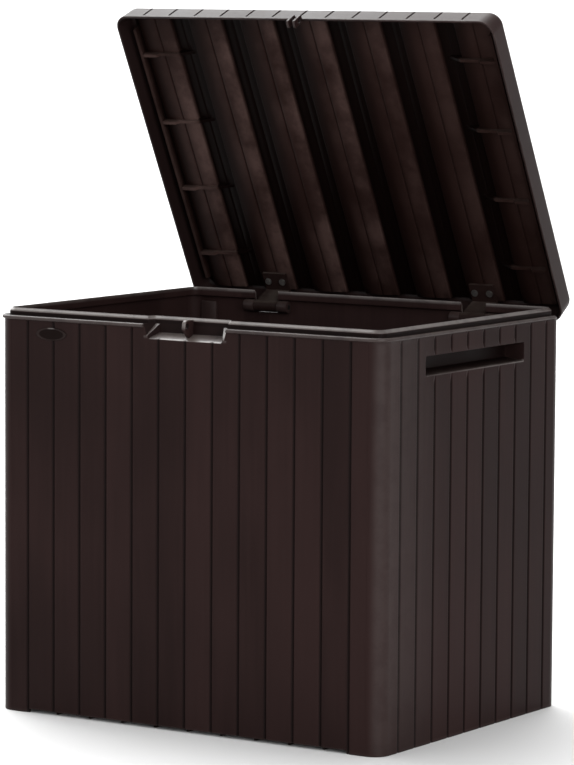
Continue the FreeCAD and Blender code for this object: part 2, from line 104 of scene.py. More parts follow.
class DeckBoxWalls(PropertyGroup):
    half_width: length("Half width", "From the middle to the side walls' faces", 0.286)
    half_depth: length("Half depth", "From the middle to the front and back walls' faces", 0.217)
    corner: length("Corner radius", "Outer radius of the upright corners", 0.021)
    wall: length("Wall", "Thickness of a wall", 0.004)
    front_pitch: length("Front plank", "Width of a front or back plank", 0.040)
    side_pitch: length("Side plank", "Width of a side plank", 0.039)
    groove_width: length("Groove width", "Width of the groove between two planks", 0.0060)
    groove_depth: length("Groove depth", "Depth of the groove between two planks", 0.0021)
    foot_height: length("Foot height", "How far the front and back edges are raised between the feet", 0.0045)
    foot_at: length("Foot place", "From the middle to where the feet begin", 0.238)
    recess_depth: length("Recess depth", "Depth of the latch recess at its back", 0.015)
    grip_half: length("Grip half length", "Half length of a grip pocket", 0.1185)
    grip_depth: length("Grip depth", "Depth of a grip pocket", 0.026)


class DeckBoxLid(PropertyGroup):
    stands_at: turning("Stands at", "Angle of the lid from closed", 63.0)
    skin: length("Skin", "Thickness of the lid's outer skin", 0.003)
    edge_radius: length("Edge radius", "Radius of the lid's upper edge", 0.010)
    crown: length("Crown", "How far the lid's top swells above its edge", 0.007)
    slot_width: length("Slot width", "Width of the slots between the lid's planks", 0.0032)
    slot_depth: length("Slot depth", "Depth of the slots between the lid's planks", 0.0015)
    rib_half: length("Rib half width", "Half width of a rib under the lid", 0.025)
    rib_depth: length("Rib depth", "How far a rib stands down from the channels beside it", 0.007)
    rib_swell: length("Rib swell", "How far a rib's middle stands beyond its edges", 0.0016)


class DeckBoxLooks(PropertyGroup):
    resin: colour("Resin", "Colour of the walls and the lid", (0.0152, 0.0080, 0.0075))
    liner: colour("Liner", "Colour of the panel under the lid", (0.0095, 0.0044, 0.0037))
    # The sheen colour is a painted highlight: painted sheen on the liner's ribs, dividers and rails.
    painted_sheen: colour("Sheen", "Colour of the smoother faces under the lid", (0.0480, 0.0290, 0.0255))
    dark: colour("Dark resin", "Colour of the floor and the hinge arms", (0.0110, 0.0060, 0.0053))
    pin: colour("Pin", "Colour of the hinge pins", (0.0075, 0.0070, 0.0068))
    steel: colour("Steel", "Colour of the screws", (0.52, 0.51, 0.49))
    # Rubbed resin is rubbed wear and also a painted highlight on the bead, rim, sill, grip lips, ramps,
    # staple, prongs and plaque border.
    rubbed_and_highlit: colour("Rubbed resin", "Colour of the resin where edges are rubbed", (0.085, 0.070, 0.065))
    dust: colour("Dust", "Colour of the dust", (0.150, 0.128, 0.110))


class DeckBoxStage(PropertyGroup):
    floor: colour("Floor", "Colour of the floor", (0.70, 0.70, 0.70))
    horizon: bright("Horizon", "the surround at eye level", 0.42)
    zenith: bright("Zenith", "the surround overhead", 0.9)
    sky: bright("Sky", "the patch above the back left", 6.5)
    key: bright("Key", "the patch at the right front", 6.4)
    backdrop: bright("Backdrop", "the patch at the back left", 1.0)
    fill: bright("Fill", "the patch at the left front", 1.3)
    azimuth: turning("Azimuth", "Camera's angle round the box", 33.09)
    elevation: turning("Elevation", "Camera's angle above the ground", 5.89)
    roll: turning("Roll", "Camera's roll", 0.35)
    distance: length("Distance", "From the aim point to the camera", 5.096)
    aim_height: length("Aim height", "Height of the aim point", 0.270)
    slide: length("Slide", "Camera's sideways offset", 0.008)
    lift: length("Lift", "Camera's upward offset", 0.1469)
    lens: FloatProperty(name="Lens", description="Focal length in millimetres", default=188.05, min=1.0)


# Shapes as grids of points

def ease(low, high, value):
    """0 below low, 1 above high, and a smooth S between them."""
    share = np.clip((value - low) / (high - low), 0.0, 1.0)
    return share * share * (3.0 - 2.0 * share)


def at(x, y, z):
    """Points from three arrays of coordinates, each stretched over the others' rows and columns."""
    return np.stack(np.broadcast_arrays(x, y, z), axis=-1)


def along_side(run, y, turn):
    """Places and outward ways round the front corner, along a side at each y and round the rear corner:
    a corner's centre is at y = run, and its way is (cos turn, sin turn)."""
    zero = 0.0 * turn
    place = np.concatenate([zero - run, y, zero + run])
    way_x = np.concatenate([np.cos(turn[::-1]), 0 * y + 1.0, np.cos(turn)])
    way_y = np.concatenate([-np.sin(turn[::-1]), 0 * y, np.sin(turn)])
    return place, way_x, way_y


def sheet(points, wrap=(False, False), caps=False, edge=0.0, painted_shade=0.0, plank=0.5):
    """A grid of points, rows by columns, whether each way closes on itself, whether the first and
    last rows are capped, and three marks: edge for rubbed edges and painted highlights, a shade mark for
    painted shade in grooves, pockets and other hollows, and plank, one number for each plank."""
    shape = points.shape[:2]
    marks = {"edge": edge, "painted_shade": painted_shade, "plank": plank}
    return {"points": points, "wrap": wrap, "caps": caps,
            "marks": {k: np.broadcast_to(v, shape).astype(float) for k, v in marks.items()}}


def grid_faces(rows, columns, wrap):
    """Four-sided faces between neighbours of a grid, with the last joined to the first where it wraps."""
    r, c = np.meshgrid(np.arange(rows if wrap[0] else rows - 1),
                       np.arange(columns if wrap[1] else columns - 1), indexing="ij")
    down, over = (r + 1) % rows, (c + 1) % columns
    corners = (r * columns + c, r * columns + over, down * columns + over, down * columns + c)
    return np.stack(corners, axis=-1).reshape(-1, 4)


def piece(name, sheets, sharp=34.0):
    """One object from several sheets: points within a micrometre are welded, faces without area go,
    normals are turned outwards, and edges that turn by more than the sharp angle stay crisp."""
    points, faces, start = [], [], 0
    for s in sheets:
        rows, columns = s["points"].shape[:2]
        points.append(s["points"].reshape(-1, 3))
        faces += (grid_faces(rows, columns, s["wrap"]) + start).tolist()
        if s["caps"]:
            faces.append(list(range(start, start + columns)))
            faces.append(list(range(start + (rows - 1) * columns, start + rows * columns)))
        start += rows * columns
    mesh = bpy.data.meshes.new(name)
    mesh.from_pydata((np.concatenate(points) * MM).tolist(), [], faces)
    for mark in ("edge", "painted_shade", "plank"):
        values = np.concatenate([s["marks"][mark].reshape(-1) for s in sheets])
        layer = mesh.attributes.new(mark, "FLOAT", "POINT")
        layer.data.foreach_set("value", values)
    work = bmesh.new()
    work.from_mesh(mesh)
    bmesh.ops.remove_doubles(work, verts=work.verts, dist=WELD)
    bmesh.ops.dissolve_degenerate(work, edges=work.edges, dist=WELD)
    bmesh.ops.recalc_face_normals(work, faces=work.faces)
    work.to_mesh(mesh)
    work.free()
    mesh.polygons.foreach_set("use_smooth", [True] * len(mesh.polygons))
    mesh.set_sharp_from_angle(angle=math.radians(sharp))
    made = bpy.data.objects.new(name, mesh)
    bpy.context.scene.collection.objects.link(made)
    return made


def dress(made, material, body, slot, *nodes):
    """Gives a piece its material and its body, and hides the CAD nodes it stands for. The slot argument is
    not used.
    """
    made.data.materials.append(material)
    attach(made, body)
    if nodes:
        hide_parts(*nodes)


def spread(*runs):
    """All the places in several lists, in order, with near repeats dropped."""
    places = np.unique(np.round(np.concatenate([np.atleast_1d(r) for r in runs]), 4))
    keep = np.concatenate([[True], np.diff(places) > 0.02])
    return places[keep]


def bar(profile, stations, shrinks):
    """A closed outline in two dimensions, set up at each station and drawn in towards its middle by
    that station's share: point = middle + (outline - middle) * (1 - share)."""
    profile = np.asarray(profile, float)
    middle = profile.mean(axis=0)
    share = 1.0 - np.asarray(shrinks, float)[:, None, None]
    flat = middle + (profile[None] - middle) * share
    along = np.broadcast_to(np.asarray(stations, float)[:, None, None], flat.shape[:2] + (1,))
    return np.concatenate([along, flat], axis=2)


def ring_solid(profile, centre, turns=48):
    """A closed outline of (radius, x) turned about a line along X: y = r cos a, z = r sin a."""
    profile = np.asarray(profile, float)
    angle = np.linspace(0.0, 2.0 * math.pi, turns, endpoint=False)[:, None]
    x = centre[0] + profile[None, :, 1]
    y = centre[1] + profile[None, :, 0] * np.cos(angle)
    z = centre[2] + profile[None, :, 0] * np.sin(angle)
    return sheet(at(x, y, z), wrap=(True, True), edge=0.1)


def reach(outline, centre, angle):
    """How far it is from centre to a closed outline in each direction: the nearest crossing of the
    ray with the outline's straight runs."""
    a = np.asarray(outline, float)
    run = np.roll(a, -1, axis=0) - a
    way = np.stack([np.cos(angle), np.sin(angle)], axis=-1)[:, None, :]
    off = (a - np.asarray(centre))[None]
    cross = way[..., 0] * run[None, :, 1] - way[..., 1] * run[None, :, 0]
    cross = np.where(np.abs(cross) < 1e-9, 1e-9, cross)
    far = (off[..., 0] * run[None, :, 1] - off[..., 1] * run[None, :, 0]) / cross
    share = (off[..., 0] * way[..., 1] - off[..., 1] * way[..., 0]) / cross
    hit = (far > 0) & (share > -1e-6) & (share < 1.0 + 1e-6)
    return np.where(hit, far, 1e6).min(axis=1)


def eyelet(x0, x1, outline, centre, radius):
    """A flat plate across X with a round hole: at each angle a closed loop runs from the hole over one
    face to the outline, across the edge and back over the other face, with small chamfers."""
    corners = np.asarray(outline, float) - np.asarray(centre)
    angle = spread(np.linspace(-math.pi, math.pi, 73)[:-1], np.arctan2(corners[:, 1], corners[:, 0]))
    far = reach(outline, centre, angle)[:, None]
    bevel = 0.5
    hole = 0.0 * far + radius
    face = np.maximum(far - 1.6, hole + 1.0)
    radii = np.concatenate(
        [hole + bevel, face, far - bevel, far, far, far - bevel, face, hole + bevel, hole, hole], axis=1)
    places = np.array([x0, x0, x0, x0 + bevel, x1 - bevel, x1, x1, x1, x1 - bevel, x0 + bevel])
    y = centre[0] + radii * np.cos(angle)[:, None]
    z = centre[1] + radii * np.sin(angle)[:, None]
    # Painted highlight round the plate's outer edge, and painted shade in the hole.
    edge = np.repeat([0.0, 0.9, 0.0], [2, 4, 4])[None]
    painted_shade = np.repeat([0.0, 1.0], [8, 2])[None]
    return sheet(at(places[None], y, z), wrap=(True, True), edge=edge, painted_shade=painted_shade)


# Walls

def wall_profile(face_rows, inner_rows):
    """The wall's closed section as (out, z): up the face, round the bead, over the ledge and the rim,
    down the inside and round the floor shelf. Returns out, z, edge marks (rubbed wear and painted
    highlights), shade marks (painted shade) and the zone of each point: 0 face and bead, 1 ledge,
    2 rim, 3 inside."""
    foot = [(-3.2, 0.0), (-0.9, 0.0), (-0.35, 0.15), (-0.08, 0.45), (0.0, 1.0)]
    face = [(0.0, z) for z in face_rows]
    bead = [(0.0, 499.3), (0.12, 500.1), (0.55, 500.55), (1.9, 500.6), (2.55, 500.8), (2.9, 501.2),
            (3.0, 501.8), (3.0, 502.7), (2.86, 503.4), (2.5, 504.0), (1.9, 504.5), (1.2, 504.85),
            (0.4, 505.0)]
    ledge = [(-1.0, 505.0), (-3.2, 505.0), (-5.4, 505.0), (-6.1, 505.12), (-6.42, 505.5), (-6.5, 506.1)]
    rim = [(-6.5, 508.8), (-6.52, 509.6), (-6.7, 510.4), (-7.1, 511.1), (-7.8, 511.85), (-8.6, 512.65),
           (-9.2, 513.3), (-9.6, 513.8), (-9.78, 514.0), (-9.93, 513.85), (-10.0, 513.4), (-10.0, 509.0),
           (-10.0, 505.5), (-10.0, 503.2)]
    under = [(-9.85, 502.75), (-9.3, 502.5), (-7.0, 502.5), (-4.9, 502.5), (-4.2, 502.3), (-4.0, 501.7)]
    inner = [(-4.0, z) for z in inner_rows]
    shelf = [(-4.0, 12.7), (-4.25, 12.15), (-4.9, 12.0), (-8.4, 12.0), (-8.9, 11.8), (-9.0, 11.3),
             (-9.0, 8.7), (-8.9, 8.2), (-8.4, 8.0), (-4.9, 8.0), (-4.2, 7.85), (-4.0, 7.3), (-4.0, 4.0),
             (-4.0, 1.0), (-3.8, 0.25)]
    parts = (foot, face, bead, ledge, rim, under, inner, shelf)
    zones = (0, 0, 0, 1, 2, 3, 3, 3)
    wear_and_highlight = (0.1, 0.0, 0.0, 0.0, 0.0, 0.0, 0.0, 0.0)
    points = np.array([p for part in parts for p in part])
    zone = np.concatenate([np.full(len(p), k) for p, k in zip(parts, zones)])
    edge = np.concatenate([np.full(len(p), k) for p, k in zip(parts, wear_and_highlight)])
    out, z = points[:, 0], points[:, 1]
    # Painted highlights: edge marks on the bead's face and on the rim's upper band; the foot's small mark is
    # rubbed wear.
    edge = np.where((zone == 0) & (out > 0.5), np.where(z > 503.0, 0.38, 0.3), edge)
    edge = np.where((zone == 2) & (z > 509.9), 1.0, edge)
    # Painted shade on the ledge, on the lower rim and under the foot.
    painted_shade = np.where((zone == 1) | (zone == 2) & (z < 509.0) & (out > -7.0), 1.0, 0.0)
    painted_shade = np.where((zone == 0) & (z < 0.9), 0.7, painted_shade)
    return out, z, edge, painted_shade, zone


def grooves(along, pitch, shift, sizes):
    """Depth of the plank grooves at places along a wall: a V with rounded shoulders round each line
    (k + shift) * pitch."""
    off = np.abs((along / pitch - shift + 0.5) % 1.0 - 0.5) * pitch
    share = np.clip(1.0 - off / (sizes.groove_width / MM / 2), 0.0, 1.0)
    return sizes.groove_depth / MM * np.where(share > 0.25, share * 1.12 - 0.12, share ** 2 * 2.56)


def groove_places(pitch, shift, low, high, half):
    """Places along a wall close to each groove, and plain places between them."""
    first, last = math.ceil(low / pitch - shift), math.floor(high / pitch - shift)
    lines = (np.arange(first, last + 1) + shift) * pitch
    near = np.array([-1.35, -1.0, -0.85, -0.7, -0.45, -0.2, 0.0, 0.2, 0.45, 0.7, 0.85, 1.0, 1.35]) * half
    plain = (lines[:, None] + np.array([10.0, 20.0, 30.0])).ravel()
    places = spread((lines[:, None] + near).ravel(), plain, low, high)
    return places[(places >= low) & (places <= high)]


def plank_marks(along, pitch, shift, seed):
    """A number from 0 to 1 for the plank at each place, changing at the grooves."""
    index = np.floor(along / pitch - shift).astype(int) + 64
    return np.random.default_rng(seed).random(160)[index]


def recess_at(x, z, sizes):
    """Depth of the latch recess: the least of the sill's slope, the canted ends and the full depth."""
    full = sizes.recess_depth / MM
    sill = full * (z - SILL) / 6.8
    end = full * (57.0 + 0.275 * (z - SILL) - np.abs(x)) / 8.0
    return np.clip(np.minimum(sill, end), 0.0, full)


def cut_recess(x, out, z, zone, sizes):
    """Draws the section in to the recess: face and ledge no further out than its surface, the rim
    moved back with it, and the inside kept a skin behind it."""
    skin = 3.5
    depth = recess_at(x, z, sizes)
    back = np.clip(depth - 6.5, 0.0, None)
    inside = recess_at(np.abs(x) - 3.9, z + 3.6, sizes) + skin
    out = np.where((zone <= 1) & (depth > 0.0), np.minimum(out, -depth), out)
    out = np.where(zone == 2, out - back, out)
    return np.where((zone == 3) & (z > 470.0), np.minimum(out, -inside), out)


def lower_rear(out, z, zone, share):
    """The rear's section: no bead, and a ledge 4 mm lower: above the groove's end, heights are drawn
    down and nothing stands out of the face."""
    high = (zone <= 1) & (z > 499.3)
    low_z = np.where(z <= 507.0, 499.3 + (z - 499.3) * 3.7 / 7.7, z - 4.0)
    low_out = np.minimum(out, np.where((zone == 0) & (z > 506.0), -0.6 * ease(506.0, 507.0, z), 0.0))
    return (out + np.where(high, (low_out - out) * share, 0.0),
            z + np.where(high, (low_z - z) * share, 0.0))


def raise_foot(along, z, sizes):
    """The lowest 8 mm drawn up between the feet: z = foot + z (8 - foot) / 8."""
    foot = sizes.foot_height / MM * (1.0 - ease(-0.45, 0.45, np.abs(along) - sizes.foot_at / MM))
    return np.where(z < 8.0, foot + z * (8.0 - foot) / 8.0, z)


def straight_wall(end, face_rows, inner_rows, sizes):
    """The front (end -1) or back (end 1) panel: the section carried along X between the seams."""
    half = sizes.half_width / MM - sizes.corner / MM - 0.1
    pitch = sizes.front_pitch / MM
    foot = sizes.foot_at / MM
    feet = np.array([-0.7, -0.35, 0.0, 0.35, 0.7])
    places = [groove_places(pitch, 0.0, -half, half, sizes.groove_width / MM / 2), foot + feet, -foot + feet]
    if end < 0:
        ends = np.arange(46.6, 66.0, 0.7)
        places += [ends, -ends]
    else:
        notch = np.array([-18.6, -18.5, 18.5, 18.6])
        places += [HINGE_X + notch, -HINGE_X + notch]
    x = spread(*places)[:, None]
    out, z, edge, shaded, zone = (v[None, :] for v in wall_profile(face_rows, inner_rows))
    depth = grooves(x, pitch, 0.0, sizes)
    shown = (zone == 0) & (z < GROOVE_END) & (out > -1.0)
    carved = np.where(shown, depth * (1.0 - ease(GROOVE_FADE, GROOVE_END, z)), 0.0)
    out = out - carved
    z = raise_foot(x, z + 0.0 * x, sizes)
    if end < 0:
        before = out
        out = cut_recess(x, out, z, zone, sizes)
        cut = (before - out > 0.5) & (zone == 0)
        # Painted highlight along the recess's sill, and painted shade over the rest of the recess.
        sill = (zone == 0) & (z > 486.2) & (z < 494.0) & (np.abs(x) < 53.5)
        edge = np.where(sill, 1.0 - 0.08 * (z - SILL), np.where(cut, 0.0, edge + 0.0 * x))
        shaded = np.where(cut & ~sill, 0.8, shaded + 0.0 * x)
    else:
        out, z = lower_rear(out, z, zone, 1.0)
        notch = np.abs(np.abs(x) - HINGE_X) < NOTCH_HALF
        low = notch & (z > 484.7)
        out = np.where(low, np.clip(out, -4.0, 0.0), out)
        z = np.where(low, 484.7, z)
        edge = edge + 0.0 * x
    y = end * (sizes.half_depth / MM + out)
    # Painted shade in the plank grooves, on the ledge and lower rim, and in the recess.
    painted_shade = np.clip(carved / 1.3 + shaded, 0.0, 1.0)
    plank = plank_marks(x, pitch, 0.0, 11 if end < 0 else 12)
    return sheet(at(x, y, z), wrap=(False, True), caps=True, edge=edge, painted_shade=painted_shade, plank=plank)


def pocket_rows():
    """The grip pocket's section from its lower lip, in over the floor, up the back and out under its
    ceiling, and the same for the inside of the wall, from the top down."""
    outer = np.array([
        (0.0, 451.4), (-0.08, 452.0), (-0.35, 452.6), (-0.85, 453.0), (-1.6, 453.2), (-6.0, 453.95),
        (-12.0, 454.9), (-18.0, 455.85), (-23.6, 456.7), (-25.0, 457.0), (-25.75, 457.6),
        (-26.0, 458.6), (-26.0, 463.0),
        (-26.0, 468.0), (-26.0, 473.6), (-25.8, 475.1), (-25.2, 475.9), (-24.2, 476.25), (-18.0, 476.3),
        (-12.0, 476.3), (-6.0, 476.3), (-1.3, 476.3), (-0.6, 476.45), (-0.18, 476.8), (0.0, 477.5)])
    inner = np.array([
        (-4.0, 483.0), (-4.15, 481.3), (-4.8, 480.0), (-6.5, 479.4), (-16.0, 479.3), (-27.6, 479.3),
        (-28.6, 479.0), (-29.0, 478.2), (-29.0, 466.0), (-29.0, 455.6), (-28.7, 454.5), (-27.7, 453.8),
        (-16.0, 451.9),
        (-6.5, 450.3), (-4.8, 449.7), (-4.15, 448.6), (-4.0, 447.0)])
    return outer, inner


def side_wall(side, sizes):
    """A side panel: the section carried round the front corner, along the side and round the rear
    corner; the pocket's section replaces the plain one along the grip."""
    half_x, half_y, r = sizes.half_width / MM, sizes.half_depth / MM, sizes.corner / MM
    pitch = sizes.side_pitch / MM
    pocket_out, pocket_in = pocket_rows()
    plain_out = np.linspace(pocket_out[0, 1], pocket_out[-1, 1], len(pocket_out))
    plain_in = np.linspace(pocket_in[0, 1], pocket_in[-1, 1], len(pocket_in))
    face_rows = np.concatenate([[5.0, 8.0], np.arange(40.0, 445.0, 40.0), plain_out, [485.0, 494.0]])
    inner_rows = np.concatenate([[495.0], plain_in, np.arange(420.0, 30.0, -60.0)])
    out, z, edge, shaded, zone = (v[None, :] for v in wall_profile(face_rows, inner_rows))

    run = half_y - r
    mouth = sizes.grip_half / MM
    steps = np.array([-7.0, -4.0, -1.6, -1.2, -0.9, -0.6, -0.35, -0.1, 0.15, 0.4, 0.7, 1.1])
    behind = mouth + 3.5 + np.array([-1.4, -0.6, 0.0, 0.6])
    lines = groove_places(pitch, 0.5, -run, run, sizes.groove_width / MM / 2)
    y = spread(lines, mouth + steps, -mouth - steps, behind, -behind, run - 0.6)[:, None]
    turn = np.radians(np.linspace(0.0, 90.0, 19))[1:, None]
    turn[-1] = math.acos(0.1 / r)
    place_y, way_x, way_y = along_side(run, y, turn)
    along = np.concatenate([0.0 * turn - CORNER, y, 0.0 * turn + CORNER])
    on_side = np.abs(along) < CORNER
    y_all = np.clip(along, -run, run)

    shown = (zone == 0) & (z < GROOVE_END) & (out > -1.0) & on_side
    carved = np.where(shown, grooves(along, pitch, 0.5, sizes), 0.0)
    carved = carved * (1.0 - ease(GROOVE_FADE, GROOVE_END, z))
    low, high = pocket_out[0, 1] - 0.01, pocket_out[-1, 1] + 0.01
    outside = (zone == 0) & (z > low) & (z < high)
    low, high = pocket_in[-1, 1] - 0.01, pocket_in[0, 1] + 0.01
    inside = (zone == 3) & (z > low) & (z < high)
    target_out, target_z = out + 0.0, z + 0.0
    target_out[outside], target_z[outside] = pocket_out[:, 0], pocket_out[:, 1]
    target_out[inside], target_z[inside] = pocket_in[:, 0], pocket_in[:, 1]
    share = np.where(zone == 0, ease(0.0, 1.0, (mouth + 0.9 - np.abs(along)) / 1.7) ** 1.3,
                     ease(0.0, 1.0, (mouth + 4.0 - np.abs(along)) / 1.6))
    share = np.where(outside | inside, share, 0.0)
    carved = carved * (1.0 - share)
    out = out - carved + (target_out - out) * share
    z = z + (target_z - z) * share
    # Painted shade that deepens towards the back of the grip pocket.
    deep = np.clip(-out / (sizes.grip_depth / MM), 0.0, 1.0) * np.where(zone == 0, share, 0.0)
    deep = deep * ease(1.0, 7.0, mouth - np.abs(along))
    out, z = lower_rear(out, z, zone, ease(run - 0.7, run - 0.1, along))
    # A painted highlight along the pocket's lower lip, growing towards the rear.
    lower_lip = outside & (share > 0.5) & (out > -1.7) & (out < -0.05) & (z < 460.0)
    lips = np.where(lower_lip, 0.3 + 0.5 * ease(-100.0, 118.0, along), 0.0)
    # Edge marks that lighten the side towards its front and round its corners.
    turned = ease(5.0, 35.0, np.degrees(np.arctan2(way_x, np.abs(way_y))))
    near = np.where(on_side, 0.08 * (1.0 - ease(-run, -60.0, y_all)), 0.14 * turned)
    rubbed_and_highlit = np.where(zone == 0, near, 0.0)
    edge = np.maximum(np.maximum(edge + 0.0 * along, rubbed_and_highlit), lips)
    points = at(side * (half_x - r + way_x * (r + out)), place_y + way_y * (r + out), z)
    plank = np.where(on_side, plank_marks(y_all, pitch, 0.5, 13 + side), 0.62)
    # Painted shade in the grooves, on the ledge and lower rim, and in the grip pocket.
    painted_shade = np.clip(carved / 0.7 + shaded + 1.6 * deep, 0.0, 1.0)
    return sheet(points, wrap=(False, True), caps=True, edge=edge, painted_shade=painted_shade, plank=plank)


def rounded(low, high, r, steps=5):
    """A rectangle with round corners, as points in order."""
    turn = np.linspace(0.0, math.pi / 2, steps)
    corners = []
    for k, (cx, cy) in enumerate(((high[0] - r, high[1] - r), (low[0] + r, high[1] - r),
                                  (low[0] + r, low[1] + r), (high[0] - r, low[1] + r))):
        a = turn + k * math.pi / 2
        corners.append(np.stack([cx + r * np.cos(a), cy + r * np.sin(a)], axis=-1))
    return np.concatenate(corners)


def lap_plate(side, end, sizes):
    """The flange behind a seam: a round-cornered outline across X, with its ends drawn in."""
    back = sizes.half_depth / MM - sizes.wall / MM
    outline = rounded((back - 3.0, 20.0), (back, 495.0), 1.0, 3) * np.array([end, 1.0])
    points = bar(outline, (243.0, 243.6, 266.4, 267.0), (0.004, 0.0, 0.0, 0.004)) * np.array([side, 1.0, 1.0])
    return sheet(points, wrap=(False, True), caps=True, edge=0.1)


def ramp(side, sizes):
    """The ramp along one end of the recess: a three-cornered outline in Y and Z, carried across from
    the canted inner face, x = 55.5 - 8 (y + 217) / 15, into the wall."""
    face = -sizes.half_depth / MM
    deep = sizes.recess_depth / MM
    outline = np.array([(face - 0.1, 486.4), (face - 0.1, 489.9), (face + 0.35, 490.8), (face + 4.0, 494.2),
                        (face + 8.0, 497.95), (face + 12.0, 501.7), (face + deep + 1.2, 505.6),
                        (face + deep + 1.2, 488.0)])
    points = bar(outline, (0.0, 0.45, 3.2, 6.0), (0.03, 0.0, 0.0, 0.0))
    cant = 8.0 * (points[..., 1] - face) / deep
    points[..., 0] = side * (55.5 - cant + points[..., 0])
    # Painted highlight on the ramp's sloped top, and painted shade on its face at the recess's end.
    sloped = np.array([0.0, 0.3, 1.0, 1.0, 1.0, 1.0, 1.0, 0.0])
    return sheet(points, wrap=(False, True), caps=True, edge=np.outer([0.0, 1.0, 1.0, 1.0], sloped),
                 painted_shade=np.array([[0.6], [0.0], [0.0], [0.0]]))


def staple_plate():
    """The plate a padlock goes through: an eyelet across X with a rounded upper front corner, cut away
    below towards the wall."""
    turn = np.radians(np.linspace(180.0, 90.0, 7))
    corner = np.stack([-214.2 + 5.8 * np.cos(turn), 506.2 + 5.8 * np.sin(turn)], axis=-1)
    below = [(-200.9, 488.4), (-207.5, 488.6), (-210.0, 490.0), (-219.2, 499.6), (-220.0, 501.0)]
    outline = np.concatenate([below, corner, [(-200.9, 512.0)]])
    made = eyelet(-2.5, 2.5, outline, PADLOCK, PADLOCK_R)
    # The edge mark, kept to the plate's upper part, is a painted highlight on its rounded top.
    made["marks"]["edge"] = made["marks"]["edge"] * ease(499.0, 506.0, made["points"][..., 2])
    return made


def boss(x0, x1):
    """A hinge boss: a ring along X with rounded ends round the pin."""
    wide = x1 - x0
    profile = [(3.08, 0.0), (7.2, 0.0), (7.75, 0.25), (8.0, 0.8), (8.0, wide - 0.8), (7.75, wide - 0.25),
               (7.2, wide), (3.08, wide)]
    return ring_solid(profile, (x0, 209.0, 493.0))


def plaque_plate():
    """A plain oval plate: rings of an ellipse, x = a s cos t and z = b s sin t, whose height swells at a
    raised border and falls round the edge to the wall."""
    rings = np.array([(0.0, 0.75), (0.3, 0.74), (0.55, 0.7), (0.74, 0.65), (0.78, 0.72), (0.82, 0.98),
                      (0.86, 1.16), (0.93, 1.2), (0.965, 1.12), (0.985, 0.92), (1.0, 0.55), (1.0, -0.3),
                      (0.5, -0.3), (0.0, -0.3)])
    share, height = rings[:, :1], rings[:, 1:]
    angle = np.linspace(0.0, 2.0 * math.pi, 96, endpoint=False)[None]
    x = -202.5 + 23.4 * share * np.cos(angle)
    z = 484.0 + 8.1 * share * np.sin(angle)
    y = -217.0 - height
    # A painted highlight on the top of the raised border, and painted shade over the field inside it.
    border = np.where((height > 0.9) & (share < 0.99), 1.0, 0.0)
    edge = border * (0.08 + 0.92 * ease(0.95, 1.0, np.sin(angle)))
    return sheet(at(x, y, z), wrap=(False, True), edge=edge, painted_shade=0.7 * (1.0 - border), plank=0.35)


# Lid

def opened(points, sizes):
    """Points turned about the hinge line from closed to the angle at which the lid stands:
    y' = y cos a + z sin a and z' = z cos a - y sin a, measured from the line."""
    joint = frame["record"]["behaviour"]["joints"][0]
    hy, hz = joint["pos_m"][1] / MM, joint["pos_m"][2] / MM
    a = sizes.stands_at
    y, z = points[..., 1] - hy, points[..., 2] - hz
    turned = np.array(points, float)
    turned[..., 1] = hy + y * math.cos(a) + z * math.sin(a)
    turned[..., 2] = hz + z * math.cos(a) - y * math.sin(a)
    return turned


def lid_section(inset, sizes):
    """Half of the lid's section from the middle of its lower edge, up the drafted skirt, round the
    edge's arc and in to the corner's centre line. Returns out, z and the unit normal's two parts."""
    r = sizes.edge_radius / MM
    lean = math.atan2(3.0, 35.0)
    arc_z = LID_EDGE - r
    arc_x = 19.5 - (arc_z - LID_FOOT) * math.tan(lean) - r / math.cos(lean)
    small = r - inset
    angle = np.radians(np.linspace(math.degrees(lean), 90.0, 14))
    arc = np.stack([arc_x + small * np.cos(angle), arc_z + small * np.sin(angle)], axis=-1)
    rows = np.array([509.6, 511.0, 512.6, 513.0, 513.4, 513.9, 514.6, 516.0, 519.0, 523.0])
    skirt = np.stack([arc[0, 0] + (arc[0, 1] - rows) * math.tan(lean), rows], axis=-1)
    foot = arc[0, 0] + (arc[0, 1] - LID_FOOT) * math.tan(lean)
    way = 1.0 if inset == 0.0 else -1.0
    middle = 19.5 - sizes.skin / MM / 2
    lower = np.array([(middle, LID_FOOT), (foot - way * 0.75, LID_FOOT), (foot - way * 0.25, 508.2),
                      (foot, 508.75)])
    top = np.stack([np.linspace(arc_x, 0.0, 4)[1:], np.full(3, LID_EDGE - inset)], axis=-1)
    points = np.concatenate([lower, skirt, arc, top])
    normal = np.concatenate([np.full(len(lower) + len(rows), lean), angle, np.full(3, math.pi / 2)])
    return points[:, 0], points[:, 1], np.cos(normal), np.sin(normal)


